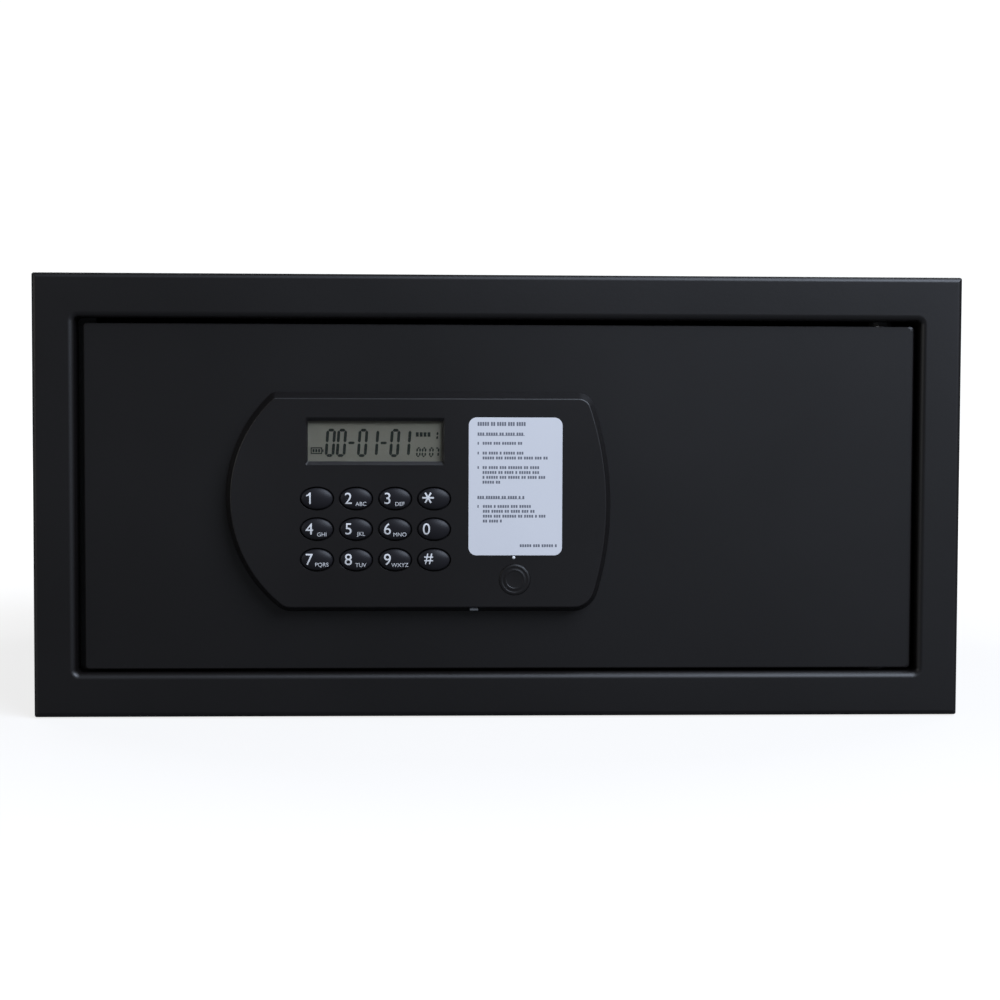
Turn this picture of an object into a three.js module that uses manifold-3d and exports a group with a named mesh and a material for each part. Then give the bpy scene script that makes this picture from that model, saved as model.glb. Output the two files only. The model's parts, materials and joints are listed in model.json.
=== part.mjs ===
// In-room hotel safe, laptop size: a folded steel housing, a hinged door with two motor-driven
// bolts, and a keypad unit with a display, an override lock and a battery compartment.
// Millimetres. Seen from the front, +X is right and +Z is up, and +Y runs from the door to the back.
// Inside the exported group every piece is placed as (x, depth, height): depth is counted from the
// front frame's face towards the back, and height from the middle of the front.
import * as THREE from "three";
import { mergeVertices } from "three/addons/utils/BufferGeometryUtils.js";
import Module from "manifold-3d";

const wasm = await Module();
wasm.setup();

// ---------------------------------------------------------------- driving dimensions
const WIDTH = 420;
const HEIGHT = 200;
const DEPTH = 370;
const SHEET = 2; // housing steel
const GAP = 0.3; // between pieces that touch on the real safe

const BORDER = 20; // front frame above and below the door opening, from its outer edge
const SIDE_BORDER = 19; // and beside it
const FRAME_RETURN = 12; // depth of the frame's outer fold
const LIP_DEPTH = 15; // depth of the frame's inner fold, round the door opening
const LIP_BEND = 3;
const HINGE_LIP = 8; // the lip is less deep beside the hinges, where the door's edge swings past
const EDGE_BEND = 2.4;
const OPENING_CORNER = 1.6;
const OUTER_CORNER = 1;

const DOOR_LEFT = -187.5;
const DOOR_RIGHT = 189.3;
const DOOR_TOP = 77.6;
const DOOR_BOTTOM = -78.6; // the door hangs a little low in its opening
const DOOR_RECESS = 4;
const DOOR_PLATE = 5;
const DOOR_EDGE_ROUND = 0.5;
const HINGE_EDGE_ROUND = 2; // rounder, so that the door clears the lip as it turns
const HINGE_X = 175;
const HINGE_DEPTH = 13.5;
const PIN_R = 3;

const COVER_LEFT = -172; // inner cover, the pan over the lock mechanism
const COVER_RIGHT = 165;
const COVER_HALF = 70;
const COVER_DEPTH = 46;
const COVER_SHEET = 1.5;

const PANEL_PROUD = 9; // keypad unit, above the door's face
const PANEL_WALL = 2;
const KEY_PROUD = 1.4;

const BOLT_R = 9;
const BOLT_TIP = -181; // drawn back, as in the rest position
const BOLT_HEIGHT = 45;
const BOLT_DEPTH = 28;
const BOLT_TRAVEL = 16;

const GEAR_MODULE = 1;
const PINION_TEETH = 12;
const PINION_X = -80;
const BACKLASH = 0.25; // off each tooth's width

// ---------------------------------------------------------------- places worked out from them
const HALF_W = WIDTH / 2;
const HALF_H = HEIGHT / 2;
const OPENING_X = HALF_W - SIDE_BORDER;
const OPENING_Z = HALF_H - BORDER;
const DOOR_BACK = DOOR_RECESS + DOOR_PLATE;
const PANEL_FACE = DOOR_RECESS - PANEL_PROUD;
const PROUD = KEY_PROUD - PANEL_FACE; // how far the key tops stand in front of the frame
const FRONT_Y = -(DEPTH - PROUD) / 2; // puts the origin under the middle of the whole safe
const PITCH_R = (GEAR_MODULE * PINION_TEETH) / 2;
const CARRIER_FRONT = 13; // plane of the bolt carrier, between the door and the bolts
const CARRIER_BACK = 15.5;

// ---------------------------------------------------------------- materials
const finish = (color, roughness, metalness = 0) =>
  new THREE.MeshStandardMaterial({ color, roughness, metalness });
const POWDER_COAT = finish(0x1c1c1f, 0.55, 0.2);
const PANEL_PLASTIC = finish(0x1a1a1c, 0.5);
const KEY_PLASTIC = finish(0x131316, 0.25);
const BRIGHT_STEEL = finish(0xb9bcc0, 0.3, 1);
const ZINC_STEEL = finish(0x9fa3a6, 0.45, 0.9);
const BRASS = finish(0xb6964e, 0.35, 1);
const RUBBER = finish(0x202020, 0.9);
const CARPET = finish(0x3a3b3e, 1);
const CLEAR = finish(0xdfe6dc, 0.05);
const DISPLAY = finish(0x6f756a, 0.4);
const CIRCUIT_GREEN = finish(0x1f5a34, 0.6);
const SILICONE = finish(0x3c3f42, 0.8);
const LABEL_WHITE = finish(0xc9cfe0, 0.6);
const WHITE_PLASTIC = finish(0xe8e8e8, 0.4);
const BATTERY_GREY = finish(0x55595f, 0.4, 0.3);
const RED_PLASTIC = finish(0xa32020, 0.4);

// ---------------------------------------------------------------- shape helpers
function solid(geometry) {
  const bare = geometry.index ? geometry.toNonIndexed() : geometry.clone();
  bare.deleteAttribute("normal");
  bare.deleteAttribute("uv");
  const merged = mergeVertices(bare, 1e-4);
  return new wasm.Manifold(
    new wasm.Mesh({
      numProp: 3,
      vertProperties: merged.attributes.position.array,
      triVerts: new Uint32Array(merged.index.array),
    }),
  );
}

function geometryOf(manifold) {
  const made = manifold.getMesh();
  const geometry = new THREE.BufferGeometry();
  geometry.setAttribute("position", new THREE.BufferAttribute(made.vertProperties, 3));
  geometry.setIndex(new THREE.BufferAttribute(made.triVerts, 1));
  geometry.computeVertexNormals();
  return geometry;
}

const cut = (body, ...tools) => tools.reduce((left, tool) => left.subtract(tool), body);
const join = (...bodies) => bodies.reduce((all, body) => all.add(body));

// Skins a stack of rings of [x, depth, height] points that all run anticlockwise seen from the
// front. The stack is capped at both ends, or, when it is looped, its last ring meets its first.
function loft(rings, looped = false) {
  const count = rings[0].length;
  const positions = [];
  const triangle = (...corners) => corners.forEach((corner) => positions.push(...corner));
  const bands = looped ? rings.length : rings.length - 1;
  for (let k = 0; k < bands; k += 1) {
    const near = rings[k];
    const far = rings[(k + 1) % rings.length];
    for (let i = 0; i < count; i += 1) {
      const j = (i + 1) % count;
      triangle(near[i], far[j], near[j]);
      triangle(near[i], far[i], far[j]);
    }
  }
  if (!looped) {
    const last = rings[rings.length - 1];
    for (let i = 1; i < count - 1; i += 1) {
      triangle(rings[0][0], rings[0][i], rings[0][i + 1]);
      triangle(last[0], last[i + 1], last[i]);
    }
  }
  const geometry = new THREE.BufferGeometry();
  geometry.setAttribute("position", new THREE.Float32BufferAttribute(positions, 3));
  return geometry;
}

// Points of a rectangle with round corners, anticlockwise from its lower left corner.
function roundedRectangle(x0, x1, z0, z1, radius, steps = 3) {
  const corners = [
    [x0 + radius, z0 + radius, Math.PI],
    [x1 - radius, z0 + radius, 1.5 * Math.PI],
    [x1 - radius, z1 - radius, 0],
    [x0 + radius, z1 - radius, 0.5 * Math.PI],
  ];
  return corners.flatMap(([x, z, start]) =>
    Array.from({ length: steps + 1 }, (_, i) => {
      const angle = start + (i / steps) * (Math.PI / 2);
      return [x + radius * Math.cos(angle), z + radius * Math.sin(angle)];
    }),
  );
}

const atDepth = (points, depth) => points.map(([x, z]) => [x, depth, z]);

// A flat shape with convex outline, from one depth to another.
const prism = (points, from, to) => solid(loft([atDepth(points, from), atDepth(points, to)]));

// A flat shape of any outline, given as [x, height] points.
function slab(points, from, to) {
  const shape = new THREE.Shape(points.map(([x, z]) => new THREE.Vector2(x, z)));
  const geometry = new THREE.ExtrudeGeometry(shape, { depth: to - from, bevelEnabled: false });
  return solid(geometry.rotateX(Math.PI / 2).translate(0, to, 0));
}

function block(x0, x1, from, to, z0, z1) {
  const geometry = new THREE.BoxGeometry(x1 - x0, to - from, z1 - z0);
  return solid(geometry.translate((x0 + x1) / 2, (from + to) / 2, (z0 + z1) / 2));
}

// A turned body from [radius, station] points: the stations run along +Y before it is turned.
function turned(profile, sides = 16) {
  const points = profile.map(([radius, station]) => new THREE.Vector2(radius, station));
  return new THREE.LatheGeometry(points, sides);
}

const rodAlongDepth = (x, z, radius, from, to, sides = 16) =>
  solid(new THREE.CylinderGeometry(radius, radius, to - from, sides).translate(x, (from + to) / 2, z));
const rodAlongHeight = (x, depth, radius, from, to, sides = 16) =>
  solid(
    new THREE.CylinderGeometry(radius, radius, to - from, sides)
      .rotateX(Math.PI / 2)
      .translate(x, depth, (from + to) / 2),
  );
const rodAlongWidth = (depth, z, radius, from, to, sides = 24) =>
  solid(
    new THREE.CylinderGeometry(radius, radius, to - from, sides)
      .rotateZ(Math.PI / 2)
      .translate((from + to) / 2, depth, z),
  );

function ellipse(x, z, halfWidth, halfHeight, steps = 16) {
  return Array.from({ length: steps }, (_, i) => {
    const angle = (i / steps) * 2 * Math.PI;
    return [x + halfWidth * Math.cos(angle), z + halfHeight * Math.sin(angle)];
  });
}

function mesh(name, body, material) {
  const made = new THREE.Mesh(body.isBufferGeometry ? body : geometryOf(body), material);
  made.name = name;
  return made;
}

function groupOf(...pieces) {
  const group = new THREE.Group();
  group.add(...pieces.flat());
  return group;
}

// Turns a piece over top to bottom, for the lower one of a pair.
function flipped(piece) {
  piece.scale.z = -1;
  return piece;
}

// ---------------------------------------------------------------- housing
// Skins a folded section that runs round the door opening. Each point is [out, depth]: out is
// counted from the opening's upper edge to the frame's. The corners of the opening and of the
// outside have radii of their own, and the flat between them blends the two.
function roundOpening(section) {
  const foldStart = BORDER - SHEET;
  const rings = section.map(([out, depth]) => {
    const sideOut = out > BORDER / 2 ? out - (BORDER - SIDE_BORDER) : out;
    const inner = OPENING_CORNER + Math.min(out, LIP_BEND);
    const outer = Math.max(OUTER_CORNER - (BORDER - out), 0.4);
    const shareAcross = THREE.MathUtils.clamp((out - LIP_BEND) / (foldStart - LIP_BEND), 0, 1);
    const points = roundedRectangle(
      -OPENING_X - sideOut, OPENING_X + sideOut, -OPENING_Z - out, OPENING_Z + out,
      THREE.MathUtils.lerp(inner, outer, shareAcross),
    );
    return atDepth(points, depth);
  });
  return solid(loft(rings, true));
}

function bend(outCentre, depthCentre, radius, start, end, steps) {
  return Array.from({ length: steps + 1 }, (_, i) => {
    const angle = start + (i / steps) * (end - start);
    return [outCentre + radius * Math.cos(angle), depthCentre + radius * Math.sin(angle)];
  });
}

function frontFrame() {
  const quarter = Math.PI / 2;
  const inner = BORDER - SHEET;
  const section = [
    [BORDER, FRAME_RETURN],
    [inner, FRAME_RETURN],
    [inner, SHEET],
    ...bend(LIP_BEND, LIP_BEND, LIP_BEND - SHEET, -quarter, -2 * quarter, 2),
    [SHEET, LIP_DEPTH],
    [0, LIP_DEPTH],
    ...bend(LIP_BEND, LIP_BEND, LIP_BEND, -2 * quarter, -quarter, 4),
    ...bend(BORDER - EDGE_BEND, EDGE_BEND, EDGE_BEND, -quarter, 0, 3),
  ];
  const bushHole = rodAlongHeight(HINGE_X, HINGE_DEPTH, 4.9, -HALF_H + SHEET + 1, HALF_H - SHEET - 1);
  const edgeRoom = block(OPENING_X - 1, OPENING_X + SHEET + 1, HINGE_LIP, LIP_DEPTH + 1, -78, 78);
  return mesh("front_frame", cut(roundOpening(section), bushHole, edgeRoom), POWDER_COAT);
}

const ANCHOR_R = 5;
const FLOOR_ANCHORS = [[-120, 190], [120, 190]];
const REAR_ANCHORS = [[-120, 0], [120, 0]];
const MAT_THICK = 3;
const MAT_HOLE_R = 11; // clears an anchor's washer

function housingWrapper() {
  const tube = roundOpening([
    [BORDER, FRAME_RETURN + GAP],
    [BORDER, DEPTH],
    [BORDER - SHEET, DEPTH],
    [BORDER - SHEET, FRAME_RETURN + GAP],
  ]);
  const holes = FLOOR_ANCHORS.map(([x, depth]) =>
    rodAlongHeight(x, depth, ANCHOR_R, -HALF_H - 1, -HALF_H + SHEET + 1, 20));
  return mesh("housing_wrapper", cut(tube, ...holes), POWDER_COAT);
}

function rearPanel() {
  const flange = 12;
  const x = HALF_W - SHEET - GAP;
  const z = HALF_H - SHEET - GAP;
  const pan = prism(roundedRectangle(-x, x, -z, z, 1.5), DEPTH - flange, DEPTH);
  const hollow = block(
    -x + SHEET, x - SHEET, DEPTH - flange - 1, DEPTH - SHEET, -z + SHEET, z - SHEET,
  );
  const holes = REAR_ANCHORS.map(([hx, hz]) =>
    rodAlongDepth(hx, hz, ANCHOR_R, DEPTH - SHEET - 1, DEPTH + 1, 20));
  return mesh("rear_panel", cut(pan, hollow, ...holes), POWDER_COAT);
}

function floorMat() {
  const x = HALF_W - SHEET - 4;
  const floor = -HALF_H + SHEET + GAP;
  const mat = block(-x, x, 24, DEPTH - 15, floor, floor + MAT_THICK);
  const holes = FLOOR_ANCHORS.map(([hx, depth]) =>
    rodAlongHeight(hx, depth, MAT_HOLE_R, floor - 1, floor + MAT_THICK + 1));
  return mesh("floor_mat", cut(mat, ...holes), CARPET);
}

const STRIKE_FRONT = LIP_DEPTH + GAP;
const STRIKE_EDGE = -183;

function strikeBar() {
  const reach = OPENING_Z + SHEET; // past the opening's edges, so that its ends are out of sight
  const bar = block(-HALF_W + SHEET + 0.5, STRIKE_EDGE, STRIKE_FRONT, STRIKE_FRONT + 3, -reach, reach);
  return mesh("strike_bar", bar, POWDER_COAT);
}

function doorBumper(name, height) {
  const pad = rodAlongDepth(STRIKE_EDGE - 2.4, height, 2, DOOR_BACK + GAP, STRIKE_FRONT - GAP);
  return mesh(name, pad, RUBBER);
}

// A bowed leaf on the strike bar. It pushes the door ajar when the bolts draw back.
function kickSpring() {
  const halfLength = 26;
  const thick = 0.7;
  const steps = 10;
  const foot = STRIKE_FRONT - GAP - thick;
  const crown = DOOR_BACK + GAP;
  const bow = (along) => crown + (foot - crown) * (1 - Math.cos((along / halfLength) * Math.PI)) / 2;
  const along = Array.from({ length: steps + 1 }, (_, i) => halfLength * ((2 * i) / steps - 1));
  const outline = [
    ...along.map((a) => new THREE.Vector2(a, bow(a))),
    ...along.reverse().map((a) => new THREE.Vector2(a, bow(a) + thick)),
  ];
  const leaf = new THREE.ExtrudeGeometry(new THREE.Shape(outline), { depth: 3.6, bevelEnabled: false });
  return mesh("kick_spring", leaf.rotateY(Math.PI / 2).translate(STRIKE_EDGE - 4, 0, 0), BRIGHT_STEEL);
}

// ---------------------------------------------------------------- hinges
const BUSH_FLANGE_HIGH = OPENING_Z - GAP;
const BRACKET_LOW = OPENING_Z + SHEET + GAP;
const BRACKET_HIGH = BRACKET_LOW + 5;

function hingeBracket(name) {
  const top = HALF_H - SHEET - GAP;
  const channel = block(HINGE_X - 14, HINGE_X + 14, 5, 24, BRACKET_LOW, top);
  const inside = block(HINGE_X - 11, HINGE_X + 11, 4, 25, BRACKET_HIGH, top + 1);
  const bore = rodAlongHeight(HINGE_X, HINGE_DEPTH, 4.9, BRACKET_LOW - 1, BRACKET_HIGH + 1);
  return mesh(name, cut(channel, inside, bore), POWDER_COAT);
}

function hingeBush(name, doorEdge) {
  const bore = PIN_R + GAP;
  const flange = doorEdge + GAP;
  const profile = [
    [bore, flange],
    [5.5, flange],
    [5.5, BUSH_FLANGE_HIGH],
    [4.6, BUSH_FLANGE_HIGH],
    [4.6, BRACKET_HIGH],
    [bore, BRACKET_HIGH],
    [bore, flange],
  ];
  const sleeve = turned(profile).rotateX(Math.PI / 2).translate(HINGE_X, HINGE_DEPTH, 0);
  return mesh(name, solid(sleeve), KEY_PLASTIC);
}

const BLOCK_LOW = 58;

function hingeBlock(name, doorEdge) {
  const body = block(HINGE_X - 5.5, HINGE_X + 6, DOOR_BACK + GAP, HINGE_DEPTH + 5.5, BLOCK_LOW, doorEdge);
  const bore = rodAlongHeight(HINGE_X, HINGE_DEPTH, PIN_R + GAP, BLOCK_LOW + 3, doorEdge + 1);
  return mesh(name, cut(body, bore), ZINC_STEEL);
}

function hingePin(name) {
  const from = BLOCK_LOW + 3 + GAP;
  const to = BRACKET_HIGH + 1;
  const profile = [
    [0, from],
    [PIN_R, from],
    [PIN_R, to - 1],
    [PIN_R - 1, to],
    [0, to],
  ];
  const pin = turned(profile).rotateX(Math.PI / 2).translate(HINGE_X, HINGE_DEPTH, 0);
  return mesh(name, solid(pin), BRIGHT_STEEL);
}

// ---------------------------------------------------------------- door
const LOCK_X = 6.2;
const LOCK_Z = -37.2;
const CABLE_HOLE = [-28, 28];
const COVER_POSTS = [[-160, -61], [-160, 61], [153, -61], [153, 61]];
const MOTOR_POSTS = [[-95, -16], [-65, -16], [-95, 18], [-65, 18]];
const MOTOR_FOOT = 17.2;

// The part of an edge that a rounding takes away at a given depth behind the front face.
function roundedOff(radius, depth) {
  if (depth >= radius) return 0;
  return radius - Math.sqrt(radius * radius - (radius - depth) ** 2);
}

function doorPlate() {
  const rings = [0, 0.3, 1, 2, DOOR_PLATE].map((depth) => {
    const edge = roundedOff(DOOR_EDGE_ROUND, depth);
    const hingeEdge = roundedOff(HINGE_EDGE_ROUND, depth);
    const points = roundedRectangle(
      DOOR_LEFT + edge, DOOR_RIGHT - hingeEdge, DOOR_BOTTOM + edge, DOOR_TOP - edge, 1.5,
    );
    return atDepth(points, DOOR_RECESS + depth);
  });
  const coverPosts = COVER_POSTS.map(([x, z]) =>
    rodAlongDepth(x, z, 4.5, DOOR_BACK - 1, COVER_DEPTH - COVER_SHEET - GAP, 16));
  const motorPosts = MOTOR_POSTS.map(([x, z]) =>
    rodAlongDepth(x, z, 3, DOOR_BACK - 1, MOTOR_FOOT - GAP, 12));
  const plate = join(solid(loft(rings)), ...coverPosts, ...motorPosts);
  const screwHoles = COVER_POSTS.map(([x, z]) => rodAlongDepth(x, z, 2.2, 34, COVER_DEPTH, 12));
  const lockHole = rodAlongDepth(LOCK_X, LOCK_Z, 8.3, 0, DOOR_BACK + 1);
  const cableHole = rodAlongDepth(...CABLE_HOLE, 8, 0, DOOR_BACK + 1, 20);
  return mesh("door_plate", cut(plate, ...screwHoles, lockHole, cableHole), POWDER_COAT);
}

const RESET_X = 148;
const RESET_Z = -20;
const CELL_R = 7.2;
const CELL_PITCH = 15;
const CELL_LENGTH = 50;
const CELLS = 4;
const TRAY_LEFT = 62;
const TRAY_RIGHT = TRAY_LEFT + CELLS * CELL_PITCH;
const TRAY_LOW = -25.5;
const TRAY_HIGH = 27.5;
const TRAY_FLOOR = 29;

function innerCover() {
  const edge = 3;
  const inside = COVER_DEPTH - COVER_SHEET;
  const rings = [[0, DOOR_BACK + GAP], [0, COVER_DEPTH - edge], [0.9, COVER_DEPTH - 0.9],
    [edge, COVER_DEPTH]].map(([inset, depth]) => atDepth(
    roundedRectangle(
      COVER_LEFT + inset, COVER_RIGHT - inset, -COVER_HALF + inset, COVER_HALF - inset, 3.2,
    ), depth,
  ));
  const hollow = prism(
    roundedRectangle(
      COVER_LEFT + COVER_SHEET, COVER_RIGHT - COVER_SHEET, -COVER_HALF + COVER_SHEET,
      COVER_HALF - COVER_SHEET, 2.4,
    ), DOOR_BACK - 1, inside,
  );
  const boltHoles = [-BOLT_HEIGHT, BOLT_HEIGHT].map((z) =>
    rodAlongWidth(BOLT_DEPTH, z, BOLT_R + 0.8, COVER_LEFT - 1, COVER_LEFT + COVER_SHEET + 1));
  const cellHole = block(TRAY_LEFT, TRAY_RIGHT, inside - 1, COVER_DEPTH + 1, TRAY_LOW, TRAY_HIGH);
  const resetHole = rodAlongDepth(RESET_X, RESET_Z, 3.6, inside - 1, COVER_DEPTH + 1, 20);
  const screwHoles = COVER_POSTS.map(([x, z]) =>
    rodAlongDepth(x, z, 2.3, inside - 1, COVER_DEPTH + 1, 12));
  const pan = cut(solid(loft(rings)), hollow, ...boltHoles, cellHole, resetHole, ...screwHoles);
  return mesh("inner_cover", pan, POWDER_COAT);
}

function coverScrew(name, x, z) {
  const head = COVER_DEPTH + GAP;
  const profile = [
    [0, 36],
    [1.9, 36],
    [1.9, head],
    [4, head],
    [4, head + 0.9],
    [2.8, head + 2],
    [0, head + 2.2],
  ];
  const screw = solid(turned(profile, 12).translate(x, 0, z));
  const slots = [block(x - 2.4, x + 2.4, head + 1, head + 3, z - 0.5, z + 0.5),
    block(x - 0.5, x + 0.5, head + 1, head + 3, z - 2.4, z + 2.4)];
  return mesh(name, cut(screw, ...slots), ZINC_STEEL);
}

// ---------------------------------------------------------------- bolts and their drive
function bolt(name, height) {
  const inner = -118.3;
  const profile = [
    [0, BOLT_TIP],
    [BOLT_R - 2, BOLT_TIP],
    [BOLT_R - 0.6, BOLT_TIP + 0.6],
    [BOLT_R, BOLT_TIP + 2],
    [BOLT_R, inner],
    [0, inner],
  ];
  const rod = turned(profile, 24).rotateZ(-Math.PI / 2).translate(0, BOLT_DEPTH, height);
  return mesh(name, solid(rod), BRIGHT_STEEL);
}

function boltGuide() {
  const foot = DOOR_BACK + GAP;
  const base = block(-155, -136, foot, foot + 2, -55, 55);
  const wall = block(-151, -148, foot, 40, -55, 55);
  const bores = [-BOLT_HEIGHT, BOLT_HEIGHT].map((z) =>
    rodAlongWidth(BOLT_DEPTH, z, BOLT_R + 0.4, -152, -147));
  return mesh("bolt_guide", cut(join(base, wall), ...bores), ZINC_STEEL);
}

const RACK_PITCH_Z = PITCH_R;
const RACK_ADDENDUM = 0.7 * GEAR_MODULE; // short, so that it clears a 12-tooth pinion's roots
const RACK_DEDENDUM = 1.2 * GEAR_MODULE;
const PINION_ADDENDUM = 0.9 * GEAR_MODULE;
const PRESSURE = THREE.MathUtils.degToRad(20);

// The rack's lower edge from left to right, with a gap centred over the pinion.
function rackEdge(from, to) {
  const pitch = Math.PI * GEAR_MODULE;
  const tip = RACK_PITCH_Z - RACK_ADDENDUM;
  const root = RACK_PITCH_Z + RACK_DEDENDUM;
  const halfPitchWidth = pitch / 4 - BACKLASH / 2;
  const halfTip = halfPitchWidth - RACK_ADDENDUM * Math.tan(PRESSURE);
  const halfRoot = halfPitchWidth + RACK_DEDENDUM * Math.tan(PRESSURE);
  const points = [];
  const firstTooth = Math.ceil((from + halfRoot - PINION_X) / pitch - 0.5);
  const lastTooth = Math.floor((to - halfRoot - PINION_X) / pitch - 0.5);
  for (let tooth = firstTooth; tooth <= lastTooth; tooth += 1) {
    const x = PINION_X + (tooth + 0.5) * pitch;
    points.push([x - halfRoot, root], [x - halfTip, tip], [x + halfTip, tip], [x + halfRoot, root]);
  }
  return points;
}

// Folded from one sheet: a plate across both bolts, a tab behind each bolt, the rack's arm, and a
// long lower arm whose lug the override cam pushes.
function boltCarrier() {
  const left = -118;
  const right = -100;
  const rackEnd = -56;
  const root = RACK_PITCH_Z + RACK_DEDENDUM;
  const plate = block(left, right, CARRIER_FRONT, CARRIER_BACK, -56, 56);
  const rackArm = slab(
    [[right - 1, root], ...rackEdge(right + 2, rackEnd), [rackEnd, root], [rackEnd, root + 5],
      [right - 1, root + 5]], CARRIER_FRONT, CARRIER_BACK,
  );
  const lugX = LOCK_X + 22;
  const lowerArm = block(right - 1, lugX + 2.5, CARRIER_FRONT, CARRIER_BACK, -50, -44);
  const lug = block(lugX, lugX + 2.5, CARRIER_FRONT, 19, -50, -44);
  const tabs = [-BOLT_HEIGHT, BOLT_HEIGHT].map((z) =>
    block(left, left + 2.5, CARRIER_FRONT, BOLT_DEPTH + 8, z - 8, z + 8));
  return mesh("bolt_carrier", join(plate, rackArm, lowerArm, lug, ...tabs), ZINC_STEEL);
}

// Involute flank points from the root circle to the tip, as [radius, half angle of the tooth].
function flankPoints() {
  const base = PITCH_R * Math.cos(PRESSURE);
  const involute = (angle) => Math.tan(angle) - angle;
  const halfPitchAngle = (Math.PI * GEAR_MODULE / 2 - BACKLASH) / (2 * PITCH_R);
  const root = PITCH_R - RACK_ADDENDUM - 0.3;
  const tip = PITCH_R + PINION_ADDENDUM;
  const halfAngle = (r) => halfPitchAngle + involute(PRESSURE) - involute(Math.acos(Math.min(1, base / r)));
  const radii = [base, PITCH_R, PITCH_R + PINION_ADDENDUM / 2, tip];
  return [[root, halfAngle(base)], ...radii.map((r) => [r, halfAngle(r)])];
}

function drivePinion() {
  const flank = flankPoints();
  const points = [];
  for (let tooth = 0; tooth < PINION_TEETH; tooth += 1) {
    const middle = Math.PI / 2 + (tooth / PINION_TEETH) * 2 * Math.PI;
    const side = (sign, list) => list.map(([r, half]) => [
      PINION_X + r * Math.cos(middle + sign * half), r * Math.sin(middle + sign * half),
    ]);
    points.push(...side(-1, flank), ...side(1, [...flank].reverse()));
  }
  const wheel = slab(points, 12.3, CARRIER_BACK + 0.4);
  const shaft = rodAlongDepth(PINION_X, 0, 1.5, CARRIER_BACK, MOTOR_FOOT - GAP, 12);
  return mesh("drive_pinion", join(wheel, shaft), WHITE_PLASTIC);
}

function gearMotor() {
  const foot = slab(roundedRectangle(-99, -61, -20, 22, 3, 2), MOTOR_FOOT, MOTOR_FOOT + 1.5);
  const gearbox = block(-93, -67, MOTOR_FOOT + 1, 29, -13, 13);
  const can = prism(ellipse(PINION_X, 0, 10, 10, 20), 28, 42);
  const boss = rodAlongDepth(PINION_X, 0, 3, 41, 43, 12);
  return mesh("gear_motor", join(foot, gearbox, can, boss), ZINC_STEEL);
}

// ---------------------------------------------------------------- override lock
const CAM_LENGTH = 21;
const LOCK_FRONT = -1.8;

function lockCylinder() {
  const profile = [
    [5.8, LOCK_FRONT],
    [7.5, LOCK_FRONT],
    [7.5, 2.6],
    [10.5, 2.6],
    [10.5, DOOR_RECESS - GAP],
    [7.9, DOOR_RECESS - GAP],
    [7.9, 12.6],
    [5.8, 12.6],
    [5.8, LOCK_FRONT],
  ];
  return mesh("lock_cylinder", solid(turned(profile).translate(LOCK_X, 0, LOCK_Z)), BRIGHT_STEEL);
}

function lockPlug() {
  const barrel = rodAlongDepth(LOCK_X, LOCK_Z, 5.5, LOCK_FRONT, 15.7);
  const keyway = block(LOCK_X - 0.9, LOCK_X + 0.9, LOCK_FRONT - 1, 9, LOCK_Z - 3.8, LOCK_Z + 3.8);
  return mesh("lock_plug", cut(barrel, keyway), BRASS);
}

function lockCam() {
  const cam = slab(
    [[LOCK_X - 6, LOCK_Z + 6], [LOCK_X - 6, LOCK_Z - 5], [LOCK_X - 3.5, LOCK_Z - CAM_LENGTH],
      [LOCK_X + 3.5, LOCK_Z - CAM_LENGTH], [LOCK_X + 6, LOCK_Z - 5], [LOCK_X + 6, LOCK_Z + 6]],
    16, 18.5,
  );
  return mesh("lock_cam", cam, ZINC_STEEL);
}

const CAP_R = 7;

// A snap-in cap over the keyhole, with two moulded rings.
function lockCover() {
  const front = PANEL_FACE - 0.1;
  const ridge = front - 0.35;
  const back = PANEL_FACE + 1;
  const profile = [
    [0, front], [3.8, front], [4, ridge], [4.4, ridge], [4.6, front],
    [5.6, front], [5.8, ridge], [6.2, ridge], [6.4, front], [CAP_R, front + 0.3],
    [CAP_R, back], [6.2, back], [6.2, back + 1.6], [5.2, back + 1.6], [5.2, back], [0, back],
  ];
  return mesh("lock_cover", solid(turned(profile, 24).translate(LOCK_X, 0, LOCK_Z)), PANEL_PLASTIC);
}

// ---------------------------------------------------------------- keypad unit
const PANEL_TOP = 47;
const PANEL_BOTTOM = -52.3;
const LEFT_ARC = { x: -60.1, z: -0.6, radius: 64, side: -1 };
const RIGHT_ARC = { x: -89.8, z: -4, radius: 140, side: 1 };

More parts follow.
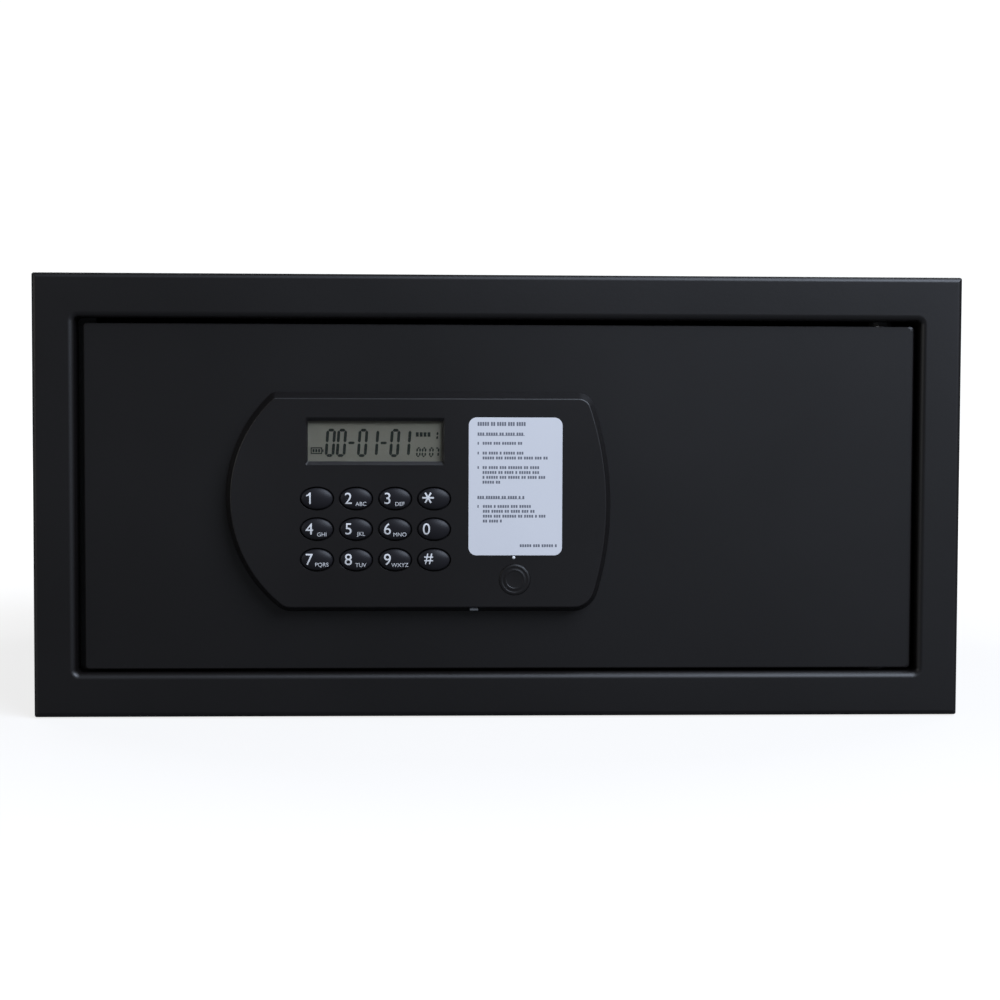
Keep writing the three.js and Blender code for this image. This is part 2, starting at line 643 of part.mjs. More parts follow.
// The unit's outline, drawn in by an inset: two bowed sides, flat top and bottom, round corners.
function panelOutline(inset, cornerSteps = 3, arcSteps = 10) {
  const top = PANEL_TOP - inset;
  const bottom = PANEL_BOTTOM + inset;
  const corner = (arc, edge, rounding) => {
    const radius = Math.max(rounding - inset, 0.4);
    const up = Math.sign(edge);
    const z = edge - up * radius;
    const reach = arc.radius - inset - radius;
    const x = arc.x + arc.side * Math.sqrt(reach * reach - (z - arc.z) ** 2);
    return { x, z, radius, towardsArc: Math.atan2(z - arc.z, x - arc.x), towardsEdge: (up * Math.PI) / 2 };
  };
  const sweep = (x, z, radius, start, end, steps) => {
    const turn = ((end - start + 3 * Math.PI) % (2 * Math.PI)) - Math.PI;
    return Array.from({ length: steps + 1 }, (_, i) => {
      const angle = start + (i / steps) * turn;
      return [x + radius * Math.cos(angle), z + radius * Math.sin(angle)];
    });
  };
  const lowerRight = corner(RIGHT_ARC, bottom, 12);
  const upperRight = corner(RIGHT_ARC, top, 8);
  const upperLeft = corner(LEFT_ARC, top, 4);
  const lowerLeft = corner(LEFT_ARC, bottom, 10);
  const fillet = (c, start, end) => sweep(c.x, c.z, c.radius, start, end, cornerSteps);
  const side = (arc, from, to) =>
    sweep(arc.x, arc.z, arc.radius - inset, from.towardsArc, to.towardsArc, arcSteps).slice(1, -1);
  return [
    ...fillet(lowerRight, lowerRight.towardsEdge, lowerRight.towardsArc),
    ...side(RIGHT_ARC, lowerRight, upperRight),
    ...fillet(upperRight, upperRight.towardsArc, upperRight.towardsEdge),
    ...fillet(upperLeft, upperLeft.towardsEdge, upperLeft.towardsArc),
    ...side(LEFT_ARC, upperLeft, lowerLeft),
    ...fillet(lowerLeft, lowerLeft.towardsArc, lowerLeft.towardsEdge),
  ];
}

const KEY_HALF_W = 7.1;
const KEY_HALF_H = 4.75;
const KEY_CLEARANCE = 0.6;
const KEY_TRAVEL_ROOM = 1;
const COLUMNS = [-82.7, -65.2, -47.7, -30.2];
const ROWS = [-0.7, -14.45, -28.2];
const LEGENDS = [
  ["1", "2", "3", "star"],
  ["4", "5", "6", "0"],
  ["7", "8", "9", "hash"],
];
const WINDOW = { left: -86.8, right: -26.5, low: 16.1, high: 34 };
const LED_X = 5.7;
const LED_Z = -27.2;
const LED_R = 0.75;
const LABEL = { left: -14.7, right: 27.5, low: -26.2, high: 35.9 };
const LABEL_CORNER = 3.6;
const PORT_LEFT = -13.8;
const PORT_RIGHT = -10.2;
const PORT_FRONT = -2.2;
const PORT_BACK = 1.2;
const PORT_ROOM = 0.2; // between the metal shell and the slot it stands in

// A thin-walled box, open at the back. Its side wall slopes in towards the face and rounds over.
function keypadHousing() {
  const face = PANEL_FACE;
  const base = DOOR_RECESS - GAP;
  const shell = solid(loft([
    [3.2, face], [2.7, face + 0.15], [2.45, face + 0.6], [0, base],
  ].map(([inset, depth]) => atDepth(panelOutline(inset), depth))));
  const hollow = solid(loft([
    [4.2, face + PANEL_WALL], [2.2, base + 1],
  ].map(([inset, depth]) => atDepth(panelOutline(inset), depth))));
  const windowRing = (sides, ends, depth) => atDepth(roundedRectangle(
    WINDOW.left - sides, WINDOW.right + sides, WINDOW.low - ends, WINDOW.high + ends, 0.3 + sides / 3, 2,
  ), depth);
  const window = solid(loft([
    windowRing(1.3, 2.1, face - 0.4), windowRing(0, 0, face + 1.4), windowRing(0, 0, face + 4),
  ]));
  const keyHoles = COLUMNS.flatMap((x) => ROWS.map((z) =>
    prism(ellipse(x, z, KEY_HALF_W + KEY_CLEARANCE, KEY_HALF_H + KEY_CLEARANCE), face - 1, face + 3)));
  const ledHole = rodAlongDepth(LED_X, LED_Z, LED_R + 0.15, face - 1, face + 3, 12);
  const capSeat = rodAlongDepth(LOCK_X, LOCK_Z, CAP_R + GAP, face - 1, face + 1.3, 24);
  const keyholeOpening = rodAlongDepth(LOCK_X, LOCK_Z, 6.5, face - 1, face + 3, 24);
  const portSlot = block(
    PORT_LEFT - PORT_ROOM, PORT_RIGHT + PORT_ROOM, PORT_FRONT - PORT_ROOM, PORT_BACK + PORT_ROOM,
    PANEL_BOTTOM - 1, PANEL_BOTTOM + 5,
  );
  const body = cut(shell, hollow, window, ...keyHoles, ledHole, capSeat, keyholeOpening, portSlot);
  return mesh("keypad_housing", body, PANEL_PLASTIC);
}

function keyCap(legend, x, z) {
  const face = PANEL_FACE;
  const flangeFront = face + PANEL_WALL + GAP;
  const flange = (KEY_HALF_W + 1.2) / KEY_HALF_W;
  const profile = [
    [0, face - KEY_PROUD],
    [0.6, face - 1.1],
    [0.92, face - 0.4],
    [1, face + 0.3],
    [1, flangeFront],
    [flange, flangeFront],
    [flange, flangeFront + 0.7],
    [0, flangeFront + 0.7],
  ];
  const cap = turned(profile).scale(KEY_HALF_W, 1, KEY_HALF_H).translate(x, 0, z);
  return mesh(`key_${legend}`, solid(cap), KEY_PLASTIC);
}

function keyCaps() {
  return ROWS.flatMap((z, row) => COLUMNS.map((x, column) => keyCap(LEGENDS[row][column], x, z)));
}

const MAT_FACE = PANEL_FACE + PANEL_WALL + GAP + 0.7 + KEY_TRAVEL_ROOM;

function keymat() {
  const back = 0.4;
  const sheet = block(COLUMNS[0] - 9, COLUMNS[3] + 9, MAT_FACE + 0.4, back, ROWS[2] - 7, ROWS[0] + 7);
  const pads = COLUMNS.flatMap((x) => ROWS.map((z) =>
    prism(ellipse(x, z, 4, 3, 8), MAT_FACE, MAT_FACE + 0.8)));
  return mesh("keymat", join(sheet, ...pads), SILICONE);
}

function controlBoard() {
  const outline = [[-96, -38], [-16, -38], [-16, -29], [14, -29], [14, -18], [-16, -18], [-16, 39],
    [-96, 39]];
  return mesh("control_board", slab(outline, 0.8, 2.4), CIRCUIT_GREEN);
}

function lcdWindow() {
  const lens = block(WINDOW.left - 2, WINDOW.right + 2, -2.7, -1.9, WINDOW.low - 2.2, WINDOW.high + 2.2);
  return mesh("lcd_window", lens, CLEAR);
}

function lcdModule() {
  const panel = block(WINDOW.left - 2, WINDOW.right + 2, -1.6, 0.5, WINDOW.low - 3, WINDOW.high + 3);
  return mesh("lcd_module", panel, DISPLAY);
}

function instructionLabel() {
  const outline = roundedRectangle(LABEL.left, LABEL.right, LABEL.low, LABEL.high, LABEL_CORNER, 4);
  return mesh("instruction_label", slab(outline, PANEL_FACE - 0.25, PANEL_FACE - 0.05), LABEL_WHITE);
}

function statusLed() {
  const profile = [
    [0, PANEL_FACE - 0.5],
    [LED_R * 0.6, PANEL_FACE - 0.4],
    [LED_R, PANEL_FACE],
    [LED_R, PANEL_FACE + PANEL_WALL + GAP],
    [1.5, PANEL_FACE + PANEL_WALL + GAP],
    [1.5, -2],
    [1, -2],
    [1, 0.5],
    [0, 0.5],
  ];
  return mesh("status_led", solid(turned(profile, 12).translate(LED_X, 0, LED_Z)), WHITE_PLASTIC);
}

// Metal shell of the service socket. It looks out of the unit's lower side.
function servicePort() {
  const wall = 0.5;
  const shell = block(
    PORT_LEFT, PORT_RIGHT, PORT_FRONT, PORT_BACK, PANEL_BOTTOM + 0.9, PANEL_BOTTOM + 7,
  );
  const mouth = block(
    PORT_LEFT + wall, PORT_RIGHT - wall, PORT_FRONT + wall, PORT_BACK - wall,
    PANEL_BOTTOM - 2, PANEL_BOTTOM + 5,
  );
  return mesh("service_port", cut(shell, mouth), ZINC_STEEL);
}

// ---------------------------------------------------------------- battery compartment
const COVER_LIP = 2;

function batteryHolder() {
  const top = COVER_DEPTH - COVER_SHEET - GAP;
  const tray = block(TRAY_LEFT - 2, TRAY_RIGHT + 2, TRAY_FLOOR - 2, top, TRAY_LOW - 2, TRAY_HIGH + 2);
  const inside = block(TRAY_LEFT, TRAY_RIGHT, TRAY_FLOOR, top + 1, TRAY_LOW, TRAY_HIGH);
  return mesh("battery_holder", cut(tray, inside), KEY_PLASTIC);
}

// Every second cell stands the other way up, so that the four are in series.
function batteryCell(name, index) {
  const middle = (TRAY_LOW + TRAY_HIGH) / 2;
  const half = CELL_LENGTH / 2;
  const profile = [
    [0, -half],
    [CELL_R, -half],
    [CELL_R, half - 1.4],
    [2.6, half - 1.4],
    [2.6, half],
    [0, half],
  ];
  const cell = turned(profile).rotateX(index % 2 ? Math.PI / 2 : -Math.PI / 2);
  const x = TRAY_LEFT + (index + 0.5) * CELL_PITCH;
  return mesh(name, solid(cell.translate(x, TRAY_FLOOR + GAP + CELL_R, middle)), BATTERY_GREY);
}

function batteryCover() {
  const inner = COVER_DEPTH + GAP;
  const outline = roundedRectangle(
    TRAY_LEFT - COVER_LIP, TRAY_RIGHT + COVER_LIP, TRAY_LOW - COVER_LIP, TRAY_HIGH + COVER_LIP, 3,
  );
  const plate = prism(outline, inner, inner + 1.7);
  const rim = cut(
    block(TRAY_LEFT + 0.5, TRAY_RIGHT - 0.5, 44.6, inner + 0.5, TRAY_LOW + 0.5, TRAY_HIGH - 0.5),
    block(TRAY_LEFT + 2, TRAY_RIGHT - 2, 44, inner, TRAY_LOW + 2, TRAY_HIGH - 2),
  );
  const middle = (TRAY_LEFT + TRAY_RIGHT) / 2;
  const grips = [0, 1, 2].map((i) =>
    block(middle - 8, middle + 8, inner + 1, inner + 3, TRAY_HIGH - 5 - 3 * i, TRAY_HIGH - 4 - 3 * i));
  return mesh("battery_cover", cut(join(plate, rim), ...grips), KEY_PLASTIC);
}

function resetButton() {
  const inside = COVER_DEPTH - COVER_SHEET - GAP;
  const profile = [
    [0, 38],
    [1.6, 38],
    [1.6, inside - 1.5],
    [4.6, inside - 1.5],
    [4.6, inside],
    [3.2, inside],
    [3.2, COVER_DEPTH + 1.4],
    [2.6, COVER_DEPTH + 2],
    [0, COVER_DEPTH + 2],
  ];
  return mesh("reset_button", solid(turned(profile).translate(RESET_X, 0, RESET_Z)), RED_PLASTIC);
}

// The battery lead, from the tray's side wall through the door plate to the control board.
function wireHarness() {
  const route = new THREE.CatmullRomCurve3([
    new THREE.Vector3(TRAY_LEFT - 2 - GAP, 36, 10),
    new THREE.Vector3(50, 36, 10.5),
    new THREE.Vector3(28, 34.5, 14),
    new THREE.Vector3(4, 31, 20.5),
    new THREE.Vector3(-16, 25, 26),
    new THREE.Vector3(-26.5, 16, 28),
    new THREE.Vector3(CABLE_HOLE[0], 8, CABLE_HOLE[1]),
    new THREE.Vector3(CABLE_HOLE[0], 2.4 + GAP, CABLE_HOLE[1]),
  ]);
  const section = new THREE.Shape(ellipse(0, 0, 2, 2, 8).map(([x, y]) => new THREE.Vector2(x, y)));
  const tube = new THREE.ExtrudeGeometry(section, { steps: 26, extrudePath: route });
  return mesh("wire_harness", solid(tube), RUBBER);
}

// ---------------------------------------------------------------- assembly
function housing() {
  return groupOf(
    frontFrame(),
    housingWrapper(),
    rearPanel(),
    floorMat(),
    strikeBar(),
    kickSpring(),
    doorBumper("door_bumper_upper", 60),
    doorBumper("door_bumper_lower", -60),
    hingeBracket("hinge_bracket_upper"),
    flipped(hingeBracket("hinge_bracket_lower")),
    hingeBush("hinge_bush_upper", DOOR_TOP),
    flipped(hingeBush("hinge_bush_lower", -DOOR_BOTTOM)),
  );
}

function door() {
  return groupOf(
    doorPlate(),
    innerCover(),
    hingeBlock("hinge_block_upper", DOOR_TOP),
    flipped(hingeBlock("hinge_block_lower", -DOOR_BOTTOM)),
    hingePin("hinge_pin_upper"),
    flipped(hingePin("hinge_pin_lower")),
    COVER_POSTS.map(([x, z], i) => coverScrew(`cover_screw_${i + 1}`, x, z)),
  );
}

function boltwork() {
  return groupOf(
    bolt("bolt_upper", BOLT_HEIGHT),
    bolt("bolt_lower", -BOLT_HEIGHT),
    boltGuide(),
    boltCarrier(),
    drivePinion(),
    gearMotor(),
    lockCylinder(),
    lockPlug(),
    lockCam(),
  );
}

function keypadUnit() {
  return groupOf(
    keypadHousing(),
    keyCaps(),
    keymat(),
    controlBoard(),
    lcdWindow(),
    lcdModule(),
    instructionLabel(),
    statusLed(),
    servicePort(),
    lockCover(),
  );
}

function powerSupply() {
  return groupOf(
    batteryHolder(),
    Array.from({ length: CELLS }, (_, i) => batteryCell(`battery_${i + 1}`, i)),
    batteryCover(),
    resetButton(),
    wireHarness(),
  );
}

const safe = groupOf(housing(), door(), boltwork(), keypadUnit(), powerSupply());
safe.position.set(0, FRONT_Y, HALF_H);

export default safe;
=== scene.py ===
"""In-room safe: the looks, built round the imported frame.

Lengths in the building functions are millimetres in the safe's own front frame, (x, depth, height):
depth counts from the front frame's face towards the back, and height from the middle of the front.
place() turns them into the row frame's metres.
"""
import json
import math

import bmesh
import bpy
from mathutils import Matrix, Vector


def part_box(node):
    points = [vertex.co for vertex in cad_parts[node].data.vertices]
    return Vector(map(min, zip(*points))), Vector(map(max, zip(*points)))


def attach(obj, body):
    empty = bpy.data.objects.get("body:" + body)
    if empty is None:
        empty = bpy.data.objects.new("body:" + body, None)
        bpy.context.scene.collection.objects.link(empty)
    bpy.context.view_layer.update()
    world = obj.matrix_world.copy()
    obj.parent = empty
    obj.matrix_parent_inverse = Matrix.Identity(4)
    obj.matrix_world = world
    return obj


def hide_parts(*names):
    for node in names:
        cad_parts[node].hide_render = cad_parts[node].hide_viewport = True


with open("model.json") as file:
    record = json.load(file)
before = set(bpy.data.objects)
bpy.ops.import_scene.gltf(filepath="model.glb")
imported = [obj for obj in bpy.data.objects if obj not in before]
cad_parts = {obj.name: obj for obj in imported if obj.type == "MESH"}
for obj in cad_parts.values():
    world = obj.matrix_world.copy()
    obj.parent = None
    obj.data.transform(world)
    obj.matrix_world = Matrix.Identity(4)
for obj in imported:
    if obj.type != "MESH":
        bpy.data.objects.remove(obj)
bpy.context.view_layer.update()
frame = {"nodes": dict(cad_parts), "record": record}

MM = 0.001
FRAME_LOW, FRAME_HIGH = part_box("front_frame")
FRONT_Y = FRAME_LOW[1]
MIDDLE_Z = (FRAME_LOW[2] + FRAME_HIGH[2]) / 2
HALF_W = FRAME_HIGH[0] / MM
HALF_H = (FRAME_HIGH[2] - MIDDLE_Z) / MM
PANEL_FACE = (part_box("keypad_housing")[0][1] - FRONT_Y) / MM
INK = 0.03  # how far the print on a key stands above it
CAD_MARGIN = 0.01  # keeps that print just inside the CAD box
KEY_TOP = (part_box("key_5")[0][1] - FRONT_Y) / MM + INK + CAD_MARGIN
PAST = 1  # how far a cutter reaches past what it cuts
LEAST_CORNER = 0.4  # the rounding that a corner keeps however far its outline is drawn in


def place(x, depth, height):
    return Vector((x * MM, FRONT_Y + depth * MM, MIDDLE_Z + height * MM))


def local_box(node):
    """A node's box in millimetres in the front frame: x, depth and height, low then high."""
    low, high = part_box(node)
    return [(p[0] / MM, (p[1] - FRONT_Y) / MM, (p[2] - MIDDLE_Z) / MM) for p in (low, high)]


def middle_of(node):
    low, high = local_box(node)
    return [(a + b) / 2 for a, b in zip(low, high)]


# ------------------------------------------------------------------ stage, camera and light
CAMERA_X = -47.4
CAMERA_BACK = 1000
CAMERA_UP = 52.4
YAW, PITCH, ROLL = (math.radians(a) for a in (2.697, -3.081, 0.216))
FOCAL = 79.8
SENSOR_WIDTH = 36
CLIP_START = 0.01
ROOM_TINT = (0.96, 0.98, 1, 1)
ROOM_LEVEL = 0.09
BACKDROP_LEVEL = 1.1
STAGE_RADIUS = 4
STAGE_SIDES = 96
STAGE_DROP = 0.0005  # metres below the safe's underside, so that the two never coincide
PAPER_GREY = 0.17
FLOOR_LIFT_NEAR = 0.8
FLOOR_LIFT_FAR = 1.1
FLOOR_LIFT_RANGE = (0.3, 1.4)  # metres from the middle: where near ends and where far begins
FOOTPRINT = 0.17  # metres from the middle: the floor nearer than this is under the safe
FOOTPRINT_FADE = 0.03
KEY_POWER = 96


def make_camera():
    forward = Vector((
        math.sin(YAW) * math.cos(PITCH), math.cos(YAW) * math.cos(PITCH), math.sin(PITCH),
    ))
    right = Vector((math.cos(YAW), -math.sin(YAW), 0))
    up = right.cross(forward)
    rolled_right = math.cos(ROLL) * right + math.sin(ROLL) * up
    rolled_up = math.cos(ROLL) * up - math.sin(ROLL) * right
    data = bpy.data.cameras.new("camera")
    data.lens = FOCAL
    data.sensor_width = SENSOR_WIDTH
    data.clip_start = CLIP_START
    camera = bpy.data.objects.new("camera", data)
    bpy.context.scene.collection.objects.link(camera)
    turn = Matrix((rolled_right, rolled_up, -forward)).transposed().to_4x4()
    camera.matrix_world = Matrix.Translation(place(CAMERA_X, -CAMERA_BACK, CAMERA_UP)) @ turn
    bpy.context.scene.camera = camera


def area_light(name, position, target, size, power, tint=(1, 1, 1)):
    data = bpy.data.lights.new(name, "AREA")
    data.shape = "RECTANGLE"
    data.size, data.size_y = size
    data.energy = power
    data.color = tint
    light = bpy.data.objects.new(name, data)
    light.location = position
    light.rotation_euler = (Vector(target) - Vector(position)).to_track_quat("-Z", "Y").to_euler()
    bpy.context.scene.collection.objects.link(light)


def seen_by_camera(tree):
    """1 for rays straight from the camera and 0 for the light that reaches the safe."""
    return tree.nodes.new("ShaderNodeLightPath").outputs["Is Camera Ray"]


def multiplied(tree, first, second):
    node = tree.nodes.new("ShaderNodeMath")
    node.operation = "MULTIPLY"
    tree.links.new(first, node.inputs[0])
    tree.links.new(second, node.inputs[1])
    return node.outputs[0]


def studio_paper():
    """Grey paper. The camera sees it lifted to the backdrop's white, except under the safe."""
    paper, tree, shader = new_material("studio_paper")
    shader.inputs["Base Color"].default_value = (PAPER_GREY, PAPER_GREY, PAPER_GREY, 1)
    shader.inputs["Roughness"].default_value = 0.95
    shader.inputs["Specular IOR Level"].default_value = 0
    shader.inputs["Emission Color"].default_value = (1, 1, 1, 1)
    coordinates = tree.nodes.new("ShaderNodeTexCoord")
    distance = tree.nodes.new("ShaderNodeVectorMath")
    distance.operation = "LENGTH"
    tree.links.new(coordinates.outputs["Object"], distance.inputs[0])
    from_middle = distance.outputs["Value"]
    reach = spread(tree, from_middle, FLOOR_LIFT_NEAR, FLOOR_LIFT_FAR, *FLOOR_LIFT_RANGE)
    uncovered = spread(tree, from_middle, 0, 1, FOOTPRINT - FOOTPRINT_FADE, FOOTPRINT)
    lift = multiplied(tree, seen_by_camera(tree), multiplied(tree, uncovered, reach))
    tree.links.new(lift, shader.inputs["Emission Strength"])
    return paper


def make_stage():
    """A round pale floor that takes the safe's soft shadow."""
    mesh = bmesh.new()
    bmesh.ops.create_circle(mesh, cap_ends=True, radius=STAGE_RADIUS, segments=STAGE_SIDES)
    data = bpy.data.meshes.new("studio_floor")
    mesh.to_mesh(data)
    mesh.free()
    floor = bpy.data.objects.new("studio_floor", data)
    floor.location.z = -STAGE_DROP
    bpy.context.scene.collection.objects.link(floor)
    data.materials.append(studio_paper())


def make_world():
    """White behind the safe, and a dim room in front of it, so that black stays black."""
    scene = bpy.context.scene
    world = bpy.data.worlds.new("studio")
    scene.world = world
    world.use_nodes = True
    tree = world.node_tree
    background = tree.nodes["Background"]
    background.inputs["Color"].default_value = ROOM_TINT
    level = tree.nodes.new("ShaderNodeMapRange")
    level.inputs["To Min"].default_value = ROOM_LEVEL
    level.inputs["To Max"].default_value = BACKDROP_LEVEL
    tree.links.new(seen_by_camera(tree), level.inputs["Value"])
    tree.links.new(level.outputs["Result"], background.inputs["Strength"])
    scene.view_settings.view_transform = "Standard"


def make_light():
    """One soft key from the upper right of the front, and weak fills for the other sides."""
    target = (0, -0.1, 0.1)
    middle = (0, 0, 0.1)
    daylight = (0.74, 0.83, 1)
    area_light("key_right", (1.26, -1.79, 1.7), target, (1.8, 1.8), KEY_POWER, daylight)
    area_light("top_strip", (0.35, -0.4, 1.3), (0.1, -0.1, 0.2), (0.6, 0.3), 3, daylight)
    area_light("fill_left", (-2, -1.2, 0.6), target, (1.2, 1.2), 6)
    area_light("back_left", (-1.2, 2.0, 1.5), middle, (1.4, 1.2), 20)
    area_light("back_right", (1.4, 1.8, 1.5), middle, (1.4, 1.2), 20)


# ------------------------------------------------------------------ materials
def new_material(name):
    made = bpy.data.materials.new(name)
    made.use_nodes = True
    tree = made.node_tree
    return made, tree, tree.nodes["Principled BSDF"]


def noise(tree, scale, detail, stretch=(1, 1, 1), rough=0.5):
    """A noise texture in the piece's own space, scale in features per metre."""
    coordinates = tree.nodes.new("ShaderNodeTexCoord")
    mapping = tree.nodes.new("ShaderNodeMapping")
    mapping.inputs["Scale"].default_value = stretch
    texture = tree.nodes.new("ShaderNodeTexNoise")
    texture.inputs["Scale"].default_value = scale
    texture.inputs["Detail"].default_value = detail
    texture.inputs["Roughness"].default_value = rough
    tree.links.new(coordinates.outputs["Object"], mapping.inputs["Vector"])
    tree.links.new(mapping.outputs["Vector"], texture.inputs["Vector"])
    return texture.outputs["Fac"]


def spread(tree, value, low, high, start=0.3, end=0.7):
    """Maps a value from between start and end onto a range of numbers."""
    node = tree.nodes.new("ShaderNodeMapRange")
    node.inputs["From Min"].default_value = start
    node.inputs["From Max"].default_value = end
    node.inputs["To Min"].default_value = low
    node.inputs["To Max"].default_value = high
    tree.links.new(value, node.inputs["Value"])
    return node.outputs["Result"]


def shade(tree, value, dark, light, start=0.3, end=0.7):
    """Maps a value from between start and end onto a range of colours."""
    node = tree.nodes.new("ShaderNodeValToRGB")
    node.color_ramp.elements[0].position = start
    node.color_ramp.elements[0].color = (*dark, 1)
    node.color_ramp.elements[1].position = end
    node.color_ramp.elements[1].color = (*light, 1)
    tree.links.new(value, node.inputs["Fac"])
    return node.outputs["Color"]


def bump(tree, value, strength, distance, under=None):
    """Relief from a value, its distance in metres, over the relief given by under."""
    node = tree.nodes.new("ShaderNodeBump")
    node.inputs["Strength"].default_value = strength
    node.inputs["Distance"].default_value = distance
    tree.links.new(value, node.inputs["Height"])
    if under:
        tree.links.new(under, node.inputs["Normal"])
    return node.outputs["Normal"]


def surface(name, dark, light, roughness, grain, depth, gloss=0.5):
    """The common recipe: slow colour and gloss variation under a fine moulded or coated grain."""
    made, tree, shader = new_material(name)
    slow = noise(tree, 9, 4)
    fine = noise(tree, grain, 2, rough=0.6)
    tree.links.new(shade(tree, slow, dark, light), shader.inputs["Base Color"])
    tree.links.new(spread(tree, slow, *roughness), shader.inputs["Roughness"])
    tree.links.new(bump(tree, fine, 0.5, depth * MM), shader.inputs["Normal"])
    shader.inputs["Specular IOR Level"].default_value = gloss
    return made


def powder_coat(name, roughness, gloss):
    """Black powder coat: orange peel about 1 mm across with a finer grit in it."""
    made, tree, shader = new_material(name)
    slow = noise(tree, 7, 4)
    peel = noise(tree, 900, 1)
    grit = noise(tree, 3800, 2, rough=0.7)
    colour = shade(tree, slow, (0.0022, 0.0014, 0.0012), (0.003, 0.002, 0.0018))
    tree.links.new(colour, shader.inputs["Base Color"])
    tree.links.new(spread(tree, slow, *roughness), shader.inputs["Roughness"])
    rough = bump(tree, grit, 0.35, 0.02 * MM)
    tree.links.new(bump(tree, peel, 0.5, 0.03 * MM, rough), shader.inputs["Normal"])
    shader.inputs["Specular IOR Level"].default_value = gloss
    return made


def carpet():
    """Needle felt: matted grey and black fibres with a soft sheen."""
    made, tree, shader = new_material("carpet")
    fibre_x = noise(tree, 900, 3, (0.25, 1.6, 1), 0.7)
    fibre_y = noise(tree, 800, 3, (1.6, 0.25, 1), 0.7)
    mix = tree.nodes.new("ShaderNodeMath")
    mix.operation = "MAXIMUM"
    tree.links.new(fibre_x, mix.inputs[0])
    tree.links.new(fibre_y, mix.inputs[1])
    colour = shade(tree, mix.outputs[0], (0.012, 0.012, 0.014), (0.085, 0.087, 0.095), 0.42, 0.75)
    tree.links.new(colour, shader.inputs["Base Color"])
    tree.links.new(bump(tree, mix.outputs[0], 0.9, 0.5 * MM), shader.inputs["Normal"])
    shader.inputs["Roughness"].default_value = 0.95
    shader.inputs["Sheen Weight"].default_value = 0.35
    shader.inputs["Sheen Roughness"].default_value = 0.5
    return made


def lcd_face():
    """Reflective display: a warm grey, slightly uneven in tone, with a fine satin grain."""
    made, tree, shader = new_material("lcd")
    slow = noise(tree, 18, 2)
    tone = shade(tree, slow, (0.084, 0.075, 0.057), (0.095, 0.085, 0.066))
    tree.links.new(tone, shader.inputs["Base Color"])
    grain = noise(tree, 5000, 1)
    tree.links.new(spread(tree, grain, 0.32, 0.42), shader.inputs["Roughness"])
    tree.links.new(bump(tree, grain, 0.2, 0.004 * MM), shader.inputs["Normal"])
    return made


def clear_lens():
    """Clear acrylic. Lamp light goes straight through it to the display behind."""
    made, tree, shader = new_material("lens")
    clear = tree.nodes.new("ShaderNodeBsdfTransparent")
    mix = tree.nodes.new("ShaderNodeMixShader")
    path = tree.nodes.new("ShaderNodeLightPath")
    tree.links.new(path.outputs["Is Shadow Ray"], mix.inputs[0])
    tree.links.new(shader.outputs[0], mix.inputs[1])
    tree.links.new(clear.outputs[0], mix.inputs[2])
    tree.links.new(mix.outputs[0], tree.nodes["Material Output"].inputs["Surface"])
    shader.inputs["Base Color"].default_value = (0.93, 0.96, 0.93, 1)
    shader.inputs["Transmission Weight"].default_value = 1
    shader.inputs["IOR"].default_value = 1.46
    haze = noise(tree, 60, 3)
    tree.links.new(spread(tree, haze, 0, 0.012), shader.inputs["Roughness"])
    return made


def circuit_green():
    """Solder mask with the faint lines of the copper under it."""
    made, tree, shader = new_material("circuit_board")
    tracks = noise(tree, 260, 0, (1, 1, 0.15))
    colour = shade(tree, tracks, (0.006, 0.05, 0.018), (0.012, 0.11, 0.04), 0.47, 0.5)
    tree.links.new(colour, shader.inputs["Base Color"])
    tree.links.new(bump(tree, tracks, 0.4, 0.05 * MM), shader.inputs["Normal"])
    shader.inputs["Roughness"].default_value = 0.35
    return made


def brushed(name, dark, light, roughness, stretch):
    """Metal with fine lines one way: stretch is small along the lines."""
    made, tree, shader = new_material(name)
    slow = noise(tree, 25, 3)
    lines = noise(tree, 2600, 3, stretch, 0.6)
    tree.links.new(shade(tree, slow, dark, light), shader.inputs["Base Color"])
    tree.links.new(spread(tree, lines, *roughness), shader.inputs["Roughness"])
    tree.links.new(bump(tree, lines, 0.25, 0.01 * MM), shader.inputs["Normal"])
    shader.inputs["Metallic"].default_value = 1
    return made


